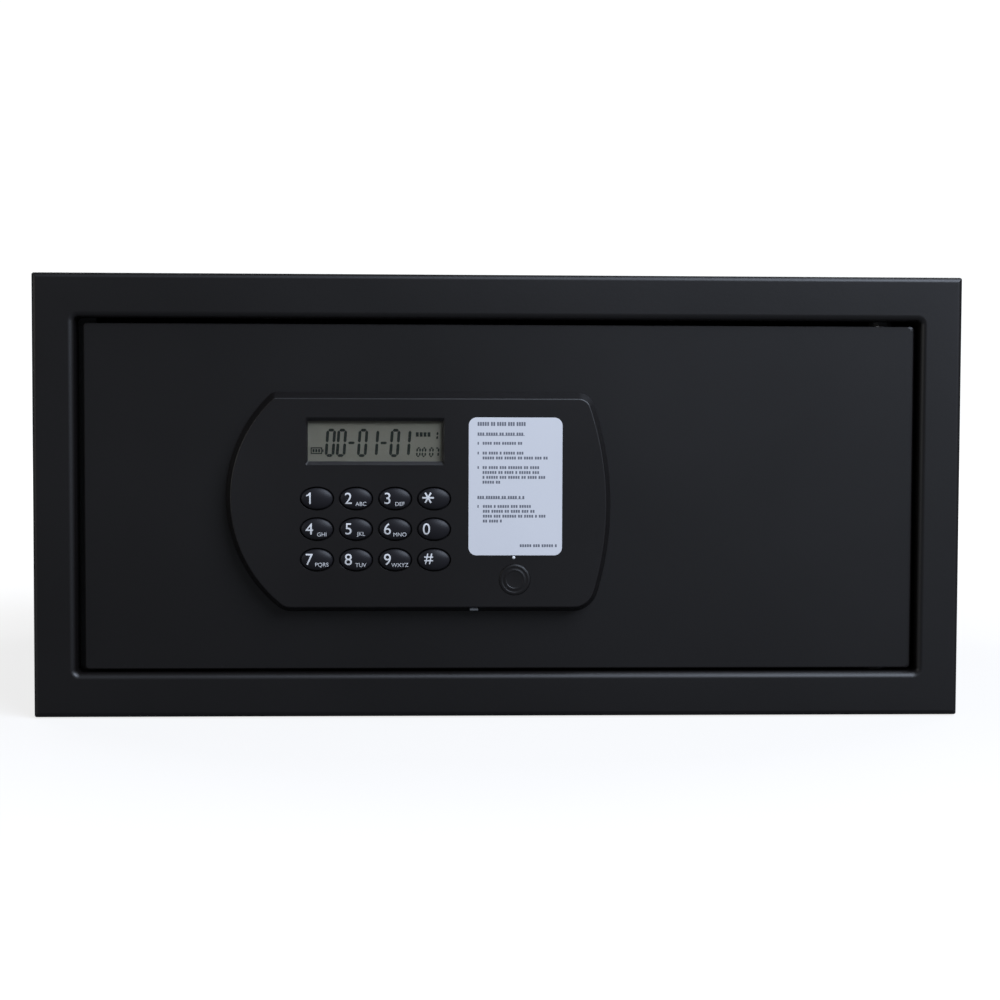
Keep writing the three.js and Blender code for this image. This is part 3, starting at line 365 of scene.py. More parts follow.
MATERIALS = {
    "powder_coat": powder_coat("powder_coat", (0.39, 0.44), 0.5),
    "panel_plastic": surface("panel_plastic", (0.0034, 0.0024, 0.0022), (0.0046, 0.0034, 0.0032),
                             (0.36, 0.42), 4200, 0.02),
    "key_plastic": surface("key_plastic", (0.0125, 0.0118, 0.0136), (0.0155, 0.0146, 0.0168),
                           (0.36, 0.41), 3000, 0.003, 0.2),
    "black_plastic": surface("black_plastic", (0.007, 0.007, 0.0075), (0.01, 0.01, 0.011),
                            (0.45, 0.58), 2600, 0.03),
    "bright_steel": brushed("bright_steel", (0.55, 0.56, 0.58), (0.66, 0.67, 0.69), (0.14, 0.3),
                            (1, 0.03, 0.03)),
    "zinc_steel": brushed("zinc_steel", (0.36, 0.38, 0.4), (0.52, 0.53, 0.54), (0.3, 0.48),
                          (1, 1, 0.2)),
    "turned_brass": brushed("turned_brass", (0.5, 0.36, 0.14), (0.66, 0.5, 0.22), (0.22, 0.4),
                            (1, 1, 0.05)),
    "black_rubber": surface("black_rubber", (0.012, 0.012, 0.012), (0.02, 0.02, 0.02),
                            (0.75, 0.9), 1800, 0.05),
    "cable_jacket": surface("cable_jacket", (0.01, 0.01, 0.011), (0.018, 0.018, 0.019),
                            (0.45, 0.6), 2400, 0.02),
    "silicone": surface("silicone", (0.07, 0.075, 0.08), (0.1, 0.105, 0.11), (0.65, 0.8),
                        2000, 0.03),
    "carpet": carpet(),
    "lens": clear_lens(),
    "lcd": lcd_face(),
    "circuit_board": circuit_green(),
    "label_film": surface("label_film", (0.66, 0.66, 0.685), (0.7, 0.7, 0.72), (0.5, 0.62),
                          2500, 0.004),
    "white_plastic": surface("white_plastic", (0.74, 0.74, 0.73), (0.82, 0.82, 0.81),
                             (0.3, 0.4), 2200, 0.01),
    "cell_wrap": surface("cell_wrap", (0.07, 0.08, 0.1), (0.12, 0.13, 0.16), (0.25, 0.35),
                         900, 0.01),
    "reset_red": surface("reset_red", (0.33, 0.012, 0.012), (0.42, 0.02, 0.018), (0.3, 0.4),
                         2200, 0.02),
}
BODY_COAT = powder_coat("body_coat", (0.7, 0.78), 0.35)  # the folded body has a rougher texture
KEY_PRINT = surface("key_print", (0.72, 0.72, 0.72), (0.84, 0.84, 0.84), (0.4, 0.5), 3500, 0.004)
LABEL_INK = surface("label_ink", (0.12, 0.126, 0.15), (0.16, 0.168, 0.2), (0.5, 0.6), 3500, 0.004)
LCD_INK = surface("lcd_ink", (0.004, 0.005, 0.004), (0.007, 0.008, 0.007), (0.6, 0.7),
                  3500, 0.002, 0.1)


# ------------------------------------------------------------------ mesh helpers
SOFT_ANGLE = 40  # degrees: soften() rounds edges sharper than this


def finish_shading(piece, angle=35):
    """Smooth where the surface is round and sharp at real edges."""
    piece.data.shade_smooth()
    piece.data.set_sharp_from_angle(angle=math.radians(angle))
    modifier = piece.modifiers.new("normals", "WEIGHTED_NORMAL")
    modifier.mode = "FACE_AREA"
    modifier.weight = 100
    modifier.keep_sharp = True


def soften(piece, width, segments=2):
    """Rounds a piece's sharp edges, as bending, turning or moulding leaves them."""
    modifier = piece.modifiers.new("edges", "BEVEL")
    modifier.width = width * MM
    modifier.segments = segments
    modifier.limit_method = "ANGLE"
    modifier.angle_limit = math.radians(SOFT_ANGLE)
    modifier.use_clamp_overlap = True


def to_object(name, mesh, material, body=None, replaces=(), angle=35):
    """A finished piece from a bmesh in millimetres of the front frame."""
    bmesh.ops.recalc_face_normals(mesh, faces=mesh.faces)
    data = bpy.data.meshes.new(name)
    mesh.to_mesh(data)
    mesh.free()
    for vertex in data.vertices:
        vertex.co = place(*vertex.co)
    data.materials.append(material)
    piece = bpy.data.objects.new(name, data)
    bpy.context.scene.collection.objects.link(piece)
    finish_shading(piece, angle)
    if body:
        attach(piece, body)
        if replaces:
            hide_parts(*replaces)
    return piece


def loft(rings, looped=False):
    """Skins rings of (x, depth, height) points. Open stacks are capped."""
    mesh = bmesh.new()
    made = [[mesh.verts.new(point) for point in ring] for ring in rings]
    count = len(made[0])
    pairs = list(zip(made, made[1:]))
    if looped:
        pairs.append((made[-1], made[0]))
    for near, far in pairs:
        for i in range(count):
            j = (i + 1) % count
            mesh.faces.new((near[i], near[j], far[j], far[i]))
    if not looped:
        mesh.faces.new(made[0])
        mesh.faces.new(made[-1][::-1])
    return mesh


def turned(profile, x, height, sides, wide=1, tall=1):
    """A body turned about the depth axis from (radius, depth) points, stretched to an ellipse."""
    mesh = bmesh.new()
    rings = []
    for radius, depth in profile:
        if radius == 0:
            rings.append([mesh.verts.new((x, depth, height))])
            continue
        rings.append([
            mesh.verts.new((x + wide * radius * math.cos(2 * math.pi * k / sides), depth,
                            height + tall * radius * math.sin(2 * math.pi * k / sides)))
            for k in range(sides)
        ])
    for near, far in zip(rings, rings[1:]):
        for k in range(sides):
            j = (k + 1) % sides
            if len(near) == 1:
                mesh.faces.new((near[0], far[j], far[k]))
            elif len(far) == 1:
                mesh.faces.new((near[k], near[j], far[0]))
            else:
                mesh.faces.new((near[k], near[j], far[j], far[k]))
    return mesh


def cut(piece, *cutters):
    """Takes closed bmeshes, in millimetres of the front frame, out of a piece."""
    for mesh in cutters:
        tool = to_object("cutter", mesh, MATERIALS["powder_coat"])
        modifier = piece.modifiers.new("cut", "BOOLEAN")
        modifier.operation = "DIFFERENCE"
        modifier.solver = "MANIFOLD"
        modifier.object = tool
    piece.modifiers.remove(piece.modifiers["normals"])
    graph = bpy.context.evaluated_depsgraph_get()
    made = bpy.data.meshes.new_from_object(piece.evaluated_get(graph))
    tools = [m.object for m in piece.modifiers if m.type == "BOOLEAN"]
    piece.modifiers.clear()
    piece.data = made
    for tool in tools:
        bpy.data.objects.remove(tool)


def rounded_rectangle(x0, x1, z0, z1, radius, steps=8):
    corners = (
        (x0 + radius, z0 + radius, math.pi),
        (x1 - radius, z0 + radius, 1.5 * math.pi),
        (x1 - radius, z1 - radius, 0),
        (x0 + radius, z1 - radius, 0.5 * math.pi),
    )
    points = []
    for x, z, start in corners:
        for i in range(steps + 1):
            angle = start + i / steps * math.pi / 2
            points.append((x + radius * math.cos(angle), z + radius * math.sin(angle)))
    return points


def at_depth(points, depth):
    return [(x, depth, z) for x, z in points]


def ellipse(x, z, wide, tall, steps):
    angles = (2 * math.pi * k / steps for k in range(steps))
    return [(x + wide * math.cos(angle), z + tall * math.sin(angle)) for angle in angles]


def block(x0, x1, from_depth, to_depth, z0, z1):
    outline = [(x0, z0), (x1, z0), (x1, z1), (x0, z1)]
    return loft([at_depth(outline, from_depth), at_depth(outline, to_depth)])


def upright_bore(x, depth, radius, steps, heights):
    """A round cutter that stands upright between two heights."""
    ring = ellipse(x, depth, radius, radius, steps)
    return loft([[(px, py, z) for px, py in ring] for z in heights])


# ------------------------------------------------------------------ front frame
BORDER = 20
SIDE_BORDER = 19
LIP_BEND = 3
EDGE_BEND = 2.4
SHEET = 2
FRAME_RETURN = 12
LIP_DEPTH = 15
HINGE_LIP = 8  # the lip's depth where the door's hinged edge swings past it
SWING_HALF_H = 78
BUSH_HOLE_R = 4.9
BUSH_HOLE_ENDS = (HALF_H - 3, HALF_H - BORDER - 4)
OPENING_CORNER = 1.6
OUTER_CORNER = 1


def frame_section():
    """The folded section as (out from the opening's edge, depth), with its bends as arcs."""
    inner = BORDER - SHEET
    quarter = math.pi / 2

    def bend(out, depth, radius, start, end, steps):
        return [(out + radius * math.cos(start + (end - start) * i / steps),
                 depth + radius * math.sin(start + (end - start) * i / steps))
                for i in range(steps + 1)]

    return [
        (BORDER, FRAME_RETURN),
        (inner, FRAME_RETURN),
        (inner, SHEET),
        *bend(LIP_BEND, LIP_BEND, LIP_BEND - SHEET, -quarter, -2 * quarter, 4),
        (SHEET, LIP_DEPTH),
        (0, LIP_DEPTH),
        *bend(LIP_BEND, LIP_BEND, LIP_BEND, -2 * quarter, -quarter, 12),
        (BORDER / 2, 0),
        *bend(BORDER - EDGE_BEND, EDGE_BEND, EDGE_BEND, -quarter, 0, 8),
    ]


def front_frame():
    """The folded frame, with its hinge bushes' holes and the room for the door's swinging edge."""
    opening_x = HALF_W - SIDE_BORDER
    opening_z = HALF_H - BORDER
    fold_start = BORDER - SHEET
    rings = []
    for out, depth in frame_section():
        side_out = out - (BORDER - SIDE_BORDER) if out > BORDER / 2 else out
        inner = OPENING_CORNER + min(out, LIP_BEND)
        outer = max(OUTER_CORNER - (BORDER - out), LEAST_CORNER)
        across = min(max((out - LIP_BEND) / (fold_start - LIP_BEND), 0), 1)
        rings.append(at_depth(rounded_rectangle(
            -opening_x - side_out, opening_x + side_out, -opening_z - out, opening_z + out,
            inner * (1 - across) + outer * across), depth))
    piece = to_object("front_frame_folded", loft(rings, True), MATERIALS["powder_coat"],
                      "housing", ["front_frame"])
    bush_x, bush_depth, _ = middle_of("hinge_bush_upper")
    holes = [block(opening_x - PAST, opening_x + SHEET + PAST, HINGE_LIP, LIP_DEPTH + PAST,
                   -SWING_HALF_H, SWING_HALF_H)]
    for side in (-1, 1):
        holes.append(upright_bore(bush_x, bush_depth, BUSH_HOLE_R, 32,
                                  [side * z for z in BUSH_HOLE_ENDS]))
    cut(piece, *holes)
    finish_shading(piece)


# ------------------------------------------------------------------ keypad unit
PANEL_TOP = 47
PANEL_BOTTOM = -52.3
LEFT_ARC = {"x": -60.1, "z": -0.6, "radius": 64, "side": -1}
RIGHT_ARC = {"x": -89.8, "z": -4, "radius": 140, "side": 1}
CORNER_STEPS = 8
ARC_STEPS = 40


def panel_outline(inset):
    """The unit's outline, drawn in by an inset: bowed sides, flat ends and round corners."""
    top = PANEL_TOP - inset
    bottom = PANEL_BOTTOM + inset

    def corner(arc, edge, rounding):
        radius = max(rounding - inset, LEAST_CORNER)
        up = math.copysign(1, edge)
        z = edge - up * radius
        reach = arc["radius"] - inset - radius
        x = arc["x"] + arc["side"] * math.sqrt(reach * reach - (z - arc["z"]) ** 2)
        return x, z, radius, math.atan2(z - arc["z"], x - arc["x"]), up * math.pi / 2

    def sweep(x, z, radius, start, end, steps):
        turn = (end - start + 3 * math.pi) % (2 * math.pi) - math.pi
        angles = (start + turn * i / steps for i in range(steps + 1))
        return [(x + radius * math.cos(angle), z + radius * math.sin(angle)) for angle in angles]

    def side(arc, start, end):
        return sweep(arc["x"], arc["z"], arc["radius"] - inset, start[3], end[3], ARC_STEPS)[1:-1]

    lower_right = corner(RIGHT_ARC, bottom, rounding=12)
    upper_right = corner(RIGHT_ARC, top, rounding=8)
    upper_left = corner(LEFT_ARC, top, rounding=4)
    lower_left = corner(LEFT_ARC, bottom, rounding=10)
    return [
        *sweep(*lower_right[:3], lower_right[4], lower_right[3], CORNER_STEPS),
        *side(RIGHT_ARC, lower_right, upper_right),
        *sweep(*upper_right[:3], upper_right[3], upper_right[4], CORNER_STEPS),
        *sweep(*upper_left[:3], upper_left[4], upper_left[3], CORNER_STEPS),
        *side(LEFT_ARC, upper_left, lower_left),
        *sweep(*lower_left[:3], lower_left[3], lower_left[4], CORNER_STEPS),
    ]


LEGENDS = {
    "1": ("1", ""), "2": ("2", "ABC"), "3": ("3", "DEF"), "star": ("*", ""),
    "4": ("4", "GHI"), "5": ("5", "JKL"), "6": ("6", "MNO"), "0": ("0", ""),
    "7": ("7", "PQRS"), "8": ("8", "TUV"), "9": ("9", "WXYZ"), "hash": ("#", ""),
}
KEY_HALF_W = 7.1
KEY_HALF_H = 4.75
WALL = 2
FACE_INSET = 3.2  # from the unit's foot on the door to the edge of its face
HOLLOW_INSETS = (4.2, 2.2)  # the hollow's inset from the same foot: at the face and at the door
EDGE_R = 0.8  # the rounding from the face into the sloping side walls
EDGE_SWEEP = 0.86  # how much of a quarter turn that rounding takes in
EDGE_STEPS = 8
WINDOW = {"left": -86.8, "right": -26.5, "low": 16.1, "high": 34}
WINDOW_CORNER = 0.3
WINDOW_SLOPE = (  # past its sides, past its ends, depth behind the face
    (1.4, 2.2, -0.5), (0.95, 1.7, 0), (0, 0.1, 1.4), (0, 0, 4),
)
WELL_GAP = 0.6
WELL_RIM = ((0.2, -0.5), (0.12, 0), (0, 0.12), (0, 0.45), (0, 3))  # wider by, depth
LED_R = 0.75
LED_GAP = 0.1
CAP_SEAT_R = 7.12
CAP_SEAT_DEPTH = 1.3
KEYHOLE_R = 6.5
THROUGH = 3  # deep enough behind the face to open a hole into the hollow
PORT_GAP = 0.2
PORT_REACH = 5


def moulding_shell():
    """The unit's outer body, and the cutter that hollows it from behind."""
    base = local_box("keypad_housing")[1][1]
    rings = [at_depth(panel_outline(FACE_INSET), PANEL_FACE)]
    for i in range(1, EDGE_STEPS + 1):
        angle = math.pi / 2 * i / EDGE_STEPS * EDGE_SWEEP
        rings.append(at_depth(panel_outline(FACE_INSET - EDGE_R * math.sin(angle)),
                              PANEL_FACE + EDGE_R * (1 - math.cos(angle))))
    rings.append(at_depth(panel_outline(0), base))
    shell = to_object("keypad_moulding", loft(rings), MATERIALS["panel_plastic"],
                      "door", ["keypad_housing"])
    at_face, at_door = (panel_outline(inset) for inset in HOLLOW_INSETS)
    return shell, loft([at_depth(at_face, PANEL_FACE + WALL), at_depth(at_door, base + PAST)])


def window_cutter():
    """The display window's opening, with sloping sides."""
    rings = []
    for sides, ends, depth in WINDOW_SLOPE:
        outline = rounded_rectangle(
            WINDOW["left"] - sides, WINDOW["right"] + sides, WINDOW["low"] - ends,
            WINDOW["high"] + ends, WINDOW_CORNER + sides / 3, 4)
        rings.append(at_depth(outline, PANEL_FACE + depth))
    return loft(rings)


def key_well(name):
    """The well that a key sits in, with a small rounding at the face."""
    x, _, z = middle_of("key_" + name)
    wide = KEY_HALF_W + WELL_GAP
    tall = KEY_HALF_H + WELL_GAP
    return loft([at_depth(ellipse(x, z, wide + grow, tall + grow, 48), PANEL_FACE + depth)
                 for grow, depth in WELL_RIM])


def round_cutter(node, radius, depth, sides):
    """A round hole in the unit's face, in line with a node."""
    x, _, z = middle_of(node)
    near, far = PANEL_FACE - PAST, PANEL_FACE + depth
    return turned([(0, near), (radius, near), (radius, far), (0, far)], x, z, sides)


def keypad_housing():
    """The hollow moulding, with its window, wells and holes."""
    shell, hollow = moulding_shell()
    low, high = local_box("service_port")
    port = block(low[0] - PORT_GAP, high[0] + PORT_GAP, low[1] - PORT_GAP, high[1] + PORT_GAP,
                 PANEL_BOTTOM - PAST, PANEL_BOTTOM + PORT_REACH)
    cut(shell, hollow, window_cutter(), *(key_well(name) for name in LEGENDS),
        round_cutter("status_led", LED_R + LED_GAP, THROUGH, 24),
        round_cutter("lock_cover", CAP_SEAT_R, CAP_SEAT_DEPTH, 64),
        round_cutter("lock_cover", KEYHOLE_R, THROUGH, 48), port)
    finish_shading(shell, 28)


# ------------------------------------------------------------------ keys
DOME = 0.86  # how much of a half-ellipse the dome's curve takes in
DOME_STEPS = 14
DOME_RIM = 0.965  # where the dome ends and the side's rounding begins, in half-sizes
KEY_EDGE = ((0.99, 0.25), (1, 0.7))  # that rounding: half-size, depth behind the rim
FLANGE_FRONT = PANEL_FACE + 2.3  # the keys' flanges, and the light's, lie just behind the wall
FLANGE_THICK = 0.64  # a fully pressed key stops just short of the rubber pad behind it
FLANGE_OUT = 1.16  # the flange's size against the key's
DIGIT = {"size": 5.1, "right": -3.4, "up": 0.2}
LETTERS = {"size": 1.8, "right": 2.2, "up": -2.3}
HASH = {"size": 4.7, "bold": 0.02, "right": -2.4, "up": 0.5}
STAR = {"reach": 2.6, "half_stroke": 0.36, "right": -2.7, "up": 0.5}
CAPITAL = 0.7  # a capital's height against the font's size
LEGEND_EDGE = 0.5  # the print's longest edge, short enough to follow the dome
INK_SUNK = 0.02  # how far the print's back is sunk in the key
MOST_SPLITS = 5  # enough for the longest edge of any sign


def dome_depth(across, up):
    """The key's front surface at a place across and up from its middle, both in half-sizes."""
    rise = PANEL_FACE - KEY_TOP
    reach = min(across * across + up * up, 1)
    return KEY_TOP + rise * (1 - math.sqrt(1 - DOME * reach)) / (1 - math.sqrt(1 - DOME))


def key_cap(name):
    """An oval key: a domed top, a rounding into its side, and the flange that keeps it in."""
    x, _, z = middle_of("key_" + name)
    back = FLANGE_FRONT + FLANGE_THICK
    rim = dome_depth(DOME_RIM, 0)
    profile = [(0, KEY_TOP)]
    profile += [(r, dome_depth(r, 0)) for r in (i / DOME_STEPS for i in range(1, DOME_STEPS))]
    profile += [(DOME_RIM, rim), *((r, rim + depth) for r, depth in KEY_EDGE)]
    profile += [(1, FLANGE_FRONT), (FLANGE_OUT, FLANGE_FRONT), (FLANGE_OUT, back), (0, back)]
    mesh = turned(profile, x, z, 56, KEY_HALF_W, KEY_HALF_H)
    to_object("key_cap_" + name, mesh, MATERIALS["key_plastic"], "button_" + name,
              ["key_" + name], 50)


def text_mesh(text, size, bold=0):
    """The text as a flat bmesh in x and height, centred, its capitals' height given by size."""
    curve = bpy.data.curves.new("text", "FONT")
    curve.body = text
    curve.align_x = "CENTER"
    curve.align_y = "CENTER"
    curve.size = size / CAPITAL
    curve.offset = bold
    curve.resolution_u = 6
    holder = bpy.data.objects.new("text", curve)
    bpy.context.scene.collection.objects.link(holder)
    graph = bpy.context.evaluated_depsgraph_get()
    data = bpy.data.meshes.new_from_object(holder.evaluated_get(graph))
    bpy.data.objects.remove(holder)
    mesh = bmesh.new()
    mesh.from_mesh(data)
    low = Vector((min(v.co.x for v in mesh.verts), min(v.co.y for v in mesh.verts)))
    high = Vector((max(v.co.x for v in mesh.verts), max(v.co.y for v in mesh.verts)))
    shift = (low + high) / 2
    for vertex in mesh.verts:
        vertex.co = (vertex.co.x - shift.x, 0, vertex.co.y - shift.y)
    return mesh


def figure_one(size):
    """A plain 1 with a flag, which the built-in font draws as a bare stroke."""
    stem, flag = 0.13 * size, 0.27 * size
    half = size / 2
    outline = [(0, -half), (stem, -half), (stem, half), (0.03 * size, half),
               (-flag * 0.5, half - 0.17 * size), (-flag, half - 0.22 * size),
               (-flag, half - 0.34 * size), (0, half - 0.24 * size)]
    mesh = bmesh.new()
    mesh.faces.new([mesh.verts.new((x, 0, z)) for x, z in outline])
    return mesh


def star(reach, half_stroke):
    """Six square-ended arms round a hub."""
    mesh = bmesh.new()

    def vertex(radius, angle, aside=0.0):
        return mesh.verts.new((radius * math.cos(angle) - aside * math.sin(angle), 0,
                               radius * math.sin(angle) + aside * math.cos(angle)))

    step = math.pi / 3
    hub = [vertex(2 * half_stroke, step * (arm + 0.5)) for arm in range(6)]
    mesh.faces.new(hub)
    for arm in range(6):
        right = vertex(reach, step * arm, -half_stroke)
        left = vertex(reach, step * arm, half_stroke)
        mesh.faces.new((hub[arm - 1], right, left, hub[arm]))
    return mesh


def split_long_edges(mesh, limit):
    """Cuts edges in two until they are all within the limit, and leaves triangles."""
    for _ in range(MOST_SPLITS):
        bmesh.ops.triangulate(mesh, faces=mesh.faces)
        long_edges = [e for e in mesh.edges if e.calc_length() > limit]
        if not long_edges:
            return
        bmesh.ops.subdivide_edges(mesh, edges=long_edges, cuts=1)
    bmesh.ops.triangulate(mesh, faces=mesh.faces)


def legend_parts(name):
    """A key's flat signs, each with its place to the right of and above the key's middle."""
    digit, letters = LEGENDS[name]
    if name == "star":
        parts = [(star(STAR["reach"], STAR["half_stroke"]), STAR)]
    elif name == "hash":
        parts = [(text_mesh("#", HASH["size"], HASH["bold"]), HASH)]
    elif name == "1":
        parts = [(figure_one(DIGIT["size"]), DIGIT)]
    else:
        parts = [(text_mesh(digit, DIGIT["size"]), DIGIT)]
    if letters:
        parts.append((text_mesh(letters, LETTERS["size"]), LETTERS))
    return [(mesh, sign["right"], sign["up"]) for mesh, sign in parts]


def key_legend(name):
    """The print on a key: it follows the dome and stands a hair above it."""
    x, _, z = middle_of("key_" + name)
    whole = bmesh.new()
    for mesh, right, up in legend_parts(name):
        split_long_edges(mesh, LEGEND_EDGE)
        data = bpy.data.meshes.new("legend_part")
        for vertex in mesh.verts:
            vertex.co.x += right
            vertex.co.z += up
        mesh.to_mesh(data)
        mesh.free()
        whole.from_mesh(data)
    extruded = bmesh.ops.extrude_face_region(whole, geom=whole.faces[:])
    backs = {v for v in extruded["geom"] if isinstance(v, bmesh.types.BMVert)}
    for vertex in whole.verts:
        front = dome_depth(vertex.co.x / KEY_HALF_W, vertex.co.z / KEY_HALF_H)
        lift = INK_SUNK if vertex in backs else -INK
        vertex.co = (x + vertex.co.x, front + lift, z + vertex.co.z)
    to_object("key_print_" + name, whole, KEY_PRINT, "button_" + name, angle=60)


# ------------------------------------------------------------------ keyhole cap and status light
CAP_FACE = PANEL_FACE - 0.1
CAP_MIDDLE = CAP_FACE + 0.12
CAP_EDGE = ((6.75, 0.05), (6.93, 0.12), (7, 0.3))  # the rounding round its rim: radius, depth
CAP_BACK = PANEL_FACE + 1
CAP_SKIRT = (6.2, 5.2)  # the skirt that plugs the keyhole: outside and inside radius
CAP_SKIRT_END = PANEL_FACE + 2.6
CAP_RINGS = ((4.2, 0.12), (6, 0.05))  # each ring's radius, and how low the face lies inside it
RING_HALF_W = 0.42
RING_FOOT_W = 0.55
RING_HALF_H = 0.06
RING_LOW = 0.04
RING_STEPS = 6
LED_TIP = PANEL_FACE - 0.5
LED_SHOULDER = PANEL_FACE + 0.1
LED_DOME = 0.6  # from the shoulder to the tip
LED_STEPS = 6
LED_FLANGE_R = 1.5
LED_FLANGE_BACK = -2
LED_STEM_R = 1
LED_STEM_END = 0.5


def lock_cover():
    """The keyhole cap: a shallow disc with two half-round moulded rings."""
    x, _, z = middle_of("lock_cover")
    profile = [(0, CAP_MIDDLE)]
    for ring, low in CAP_RINGS:
        profile.append((ring - RING_FOOT_W, CAP_FACE + low))
        for i in range(RING_STEPS + 1):
            angle = math.pi * i / RING_STEPS
            profile.append((ring - RING_HALF_W * math.cos(angle),
                            CAP_FACE + RING_LOW - RING_HALF_H * math.sin(angle)))
    profile += [(radius, CAP_FACE + depth) for radius, depth in CAP_EDGE]
    outside, inside = CAP_SKIRT
    profile += [(CAP_EDGE[-1][0], CAP_BACK), (outside, CAP_BACK), (outside, CAP_SKIRT_END)]
    profile += [(inside, CAP_SKIRT_END), (inside, CAP_BACK), (0, CAP_BACK)]
    to_object("keyhole_cap", turned(profile, x, z, 72), MATERIALS["panel_plastic"], "keyhole_cap",
              ["lock_cover"], 50)


def status_led():
    """A small white light: a domed tip in the face, a flange and a stem down to its board."""
    x, _, z = middle_of("status_led")
    profile = [(0, LED_TIP)]
    profile += [(LED_R * math.sin(angle), LED_SHOULDER - LED_DOME * math.cos(angle))
                for angle in (math.pi / 2 * i / LED_STEPS for i in range(1, LED_STEPS + 1))]
    profile += [(LED_R, FLANGE_FRONT), (LED_FLANGE_R, FLANGE_FRONT)]
    profile += [(LED_FLANGE_R, LED_FLANGE_BACK), (LED_STEM_R, LED_FLANGE_BACK)]
    profile += [(LED_STEM_R, LED_STEM_END), (0, LED_STEM_END)]
    to_object("status_light", turned(profile, x, z, 28), MATERIALS["white_plastic"], "door",
              ["status_led"], 40)


# ------------------------------------------------------------------ display
SLANT = 0.075
FIGURES_LEFT = -79.4
FIGURES_LOW = 17.9
GROUP_PITCH = 14.45
DASH_RIGHT = 9.35
CLOCK_LEFT = FIGURES_LEFT + 41
CLOCK_PITCH = 5.8
COUNT_RIGHT = 8
COUNT_UP = 7.5
LCD_CORNER = 0.5
LCD_LIFT = 0.04  # how far the figures' front stands before the glass
LCD_THICK = 0.03
SEGMENTS = {"0": "abcdef", "1": "bc", "7": "abc", "-": "g"}
SEGMENT_GAP = 0.12
BIG = (4.35, 12.7, 4.95, 1.3)  # a figure's width, height, pitch and stroke
DASH = (4.5, 12.7, 4.95, 1.15)
CLOCK = (2.05, 4.5, 2.48, 0.74)
COUNT = (1.9, 4.4, 2.5, 0.8)
WORD_BARS = 4
WORD_BAR = {"pitch": 1.75, "width": 1.3, "height": 2, "up": 9.2}
BATTERY_LEFT = FIGURES_LEFT - 6.2
BATTERY_LOW = FIGURES_LOW + 1.3
BATTERY_BARS = (  # left, right, low, high: the case, its end and three cells
    (0, 5.2, 0, 0.5), (0, 5.2, 2.5, 3), (0, 0.5, 0.5, 2.5), (4.7, 5.2, 0.5, 2.5),
    (5.25, 5.75, 0.9, 2.1), (0.85, 1.75, 0.8, 2.2), (2.1, 3, 0.8, 2.2), (3.35, 4.25, 0.8, 2.2),
)


def segment_outline(segment, width, height, thick):
    """One bar of a seven-segment digit, pointed at both ends, as (x, z) from the digit's corner."""
    half = thick / 2
    rows = {"a": height - half, "g": height / 2, "d": half}
    if segment in rows:
        z = rows[segment]
        left, right = half + SEGMENT_GAP, width - half - SEGMENT_GAP
        return [(left, z), (left + half, z - half), (right - half, z - half), (right, z),
                (right - half, z + half), (left + half, z + half)]
    x = width - half if segment in "bc" else half
    low, high = (height / 2, height - half) if segment in "bf" else (half, height / 2)
    low, high = low + SEGMENT_GAP, high - SEGMENT_GAP
    return [(x, low), (x + half, low + half), (x + half, high - half), (x, high),
            (x - half, high - half), (x - half, low + half)]


def add_plate(mesh, outline, front, thick):
    """Adds a thin flat closed body with the given outline."""
    near = [mesh.verts.new((x, front, z)) for x, z in outline]
    far = [mesh.verts.new((x, front + thick, z)) for x, z in outline]
    mesh.faces.new(near)
    mesh.faces.new(far[::-1])
    for i in range(len(outline)):
        j = (i + 1) % len(outline)
        mesh.faces.new((near[j], near[i], far[i], far[j]))


def add_bar(mesh, x0, x1, z0, z1, front, thick):
    add_plate(mesh, [(x0, z0), (x1, z0), (x1, z1), (x0, z1)], front, thick)


def add_number(mesh, text, left, low, figure, front):
    width, height, pitch, stroke = figure
    x = left
    for sign in text:
        for segment in SEGMENTS[sign]:
            outline = segment_outline(segment, width, height, stroke)
            slanted = [(x + px + SLANT * pz, low + pz) for px, pz in outline]
            add_plate(mesh, slanted, front, LCD_THICK)
        x += pitch


def add_clock(mesh, front):
    """Two small groups, a raised count, and bars that stand in for a small word."""
    for index, text in enumerate(("00", "07")):
        add_number(mesh, text, CLOCK_LEFT + CLOCK_PITCH * index, FIGURES_LOW, CLOCK, front)
    add_number(mesh, "1", CLOCK_LEFT + COUNT_RIGHT, FIGURES_LOW + COUNT_UP, COUNT, front)
    for i in range(WORD_BARS):
        x = CLOCK_LEFT + WORD_BAR["pitch"] * i
        z = FIGURES_LOW + WORD_BAR["up"]
        add_bar(mesh, x, x + WORD_BAR["width"], z, z + WORD_BAR["height"], front, LCD_THICK)


def display():
    """The display's face and the dark figures before it."""
    low, high = local_box("lcd_module")
    outline = rounded_rectangle(low[0], high[0], low[2], high[2], LCD_CORNER, 4)
    rings = [at_depth(outline, low[1]), at_depth(outline, high[1])]
    glass = to_object("lcd_glass", loft(rings), MATERIALS["lcd"], "door", ["lcd_module"])
    soften(glass, 0.15)
    front = low[1] - LCD_LIFT
    ink = bmesh.new()
    for index, text in enumerate(("00", "01", "01")):
        left = FIGURES_LEFT + GROUP_PITCH * index
        add_number(ink, text, left, FIGURES_LOW, BIG, front)
        if index < 2:
            add_number(ink, "-", left + DASH_RIGHT, FIGURES_LOW, DASH, front)
    add_clock(ink, front)
    for x0, x1, z0, z1 in BATTERY_BARS:
        add_bar(ink, BATTERY_LEFT + x0, BATTERY_LEFT + x1, BATTERY_LOW + z0, BATTERY_LOW + z1,
                front, LCD_THICK)
    to_object("lcd_figures", ink, LCD_INK, "door")


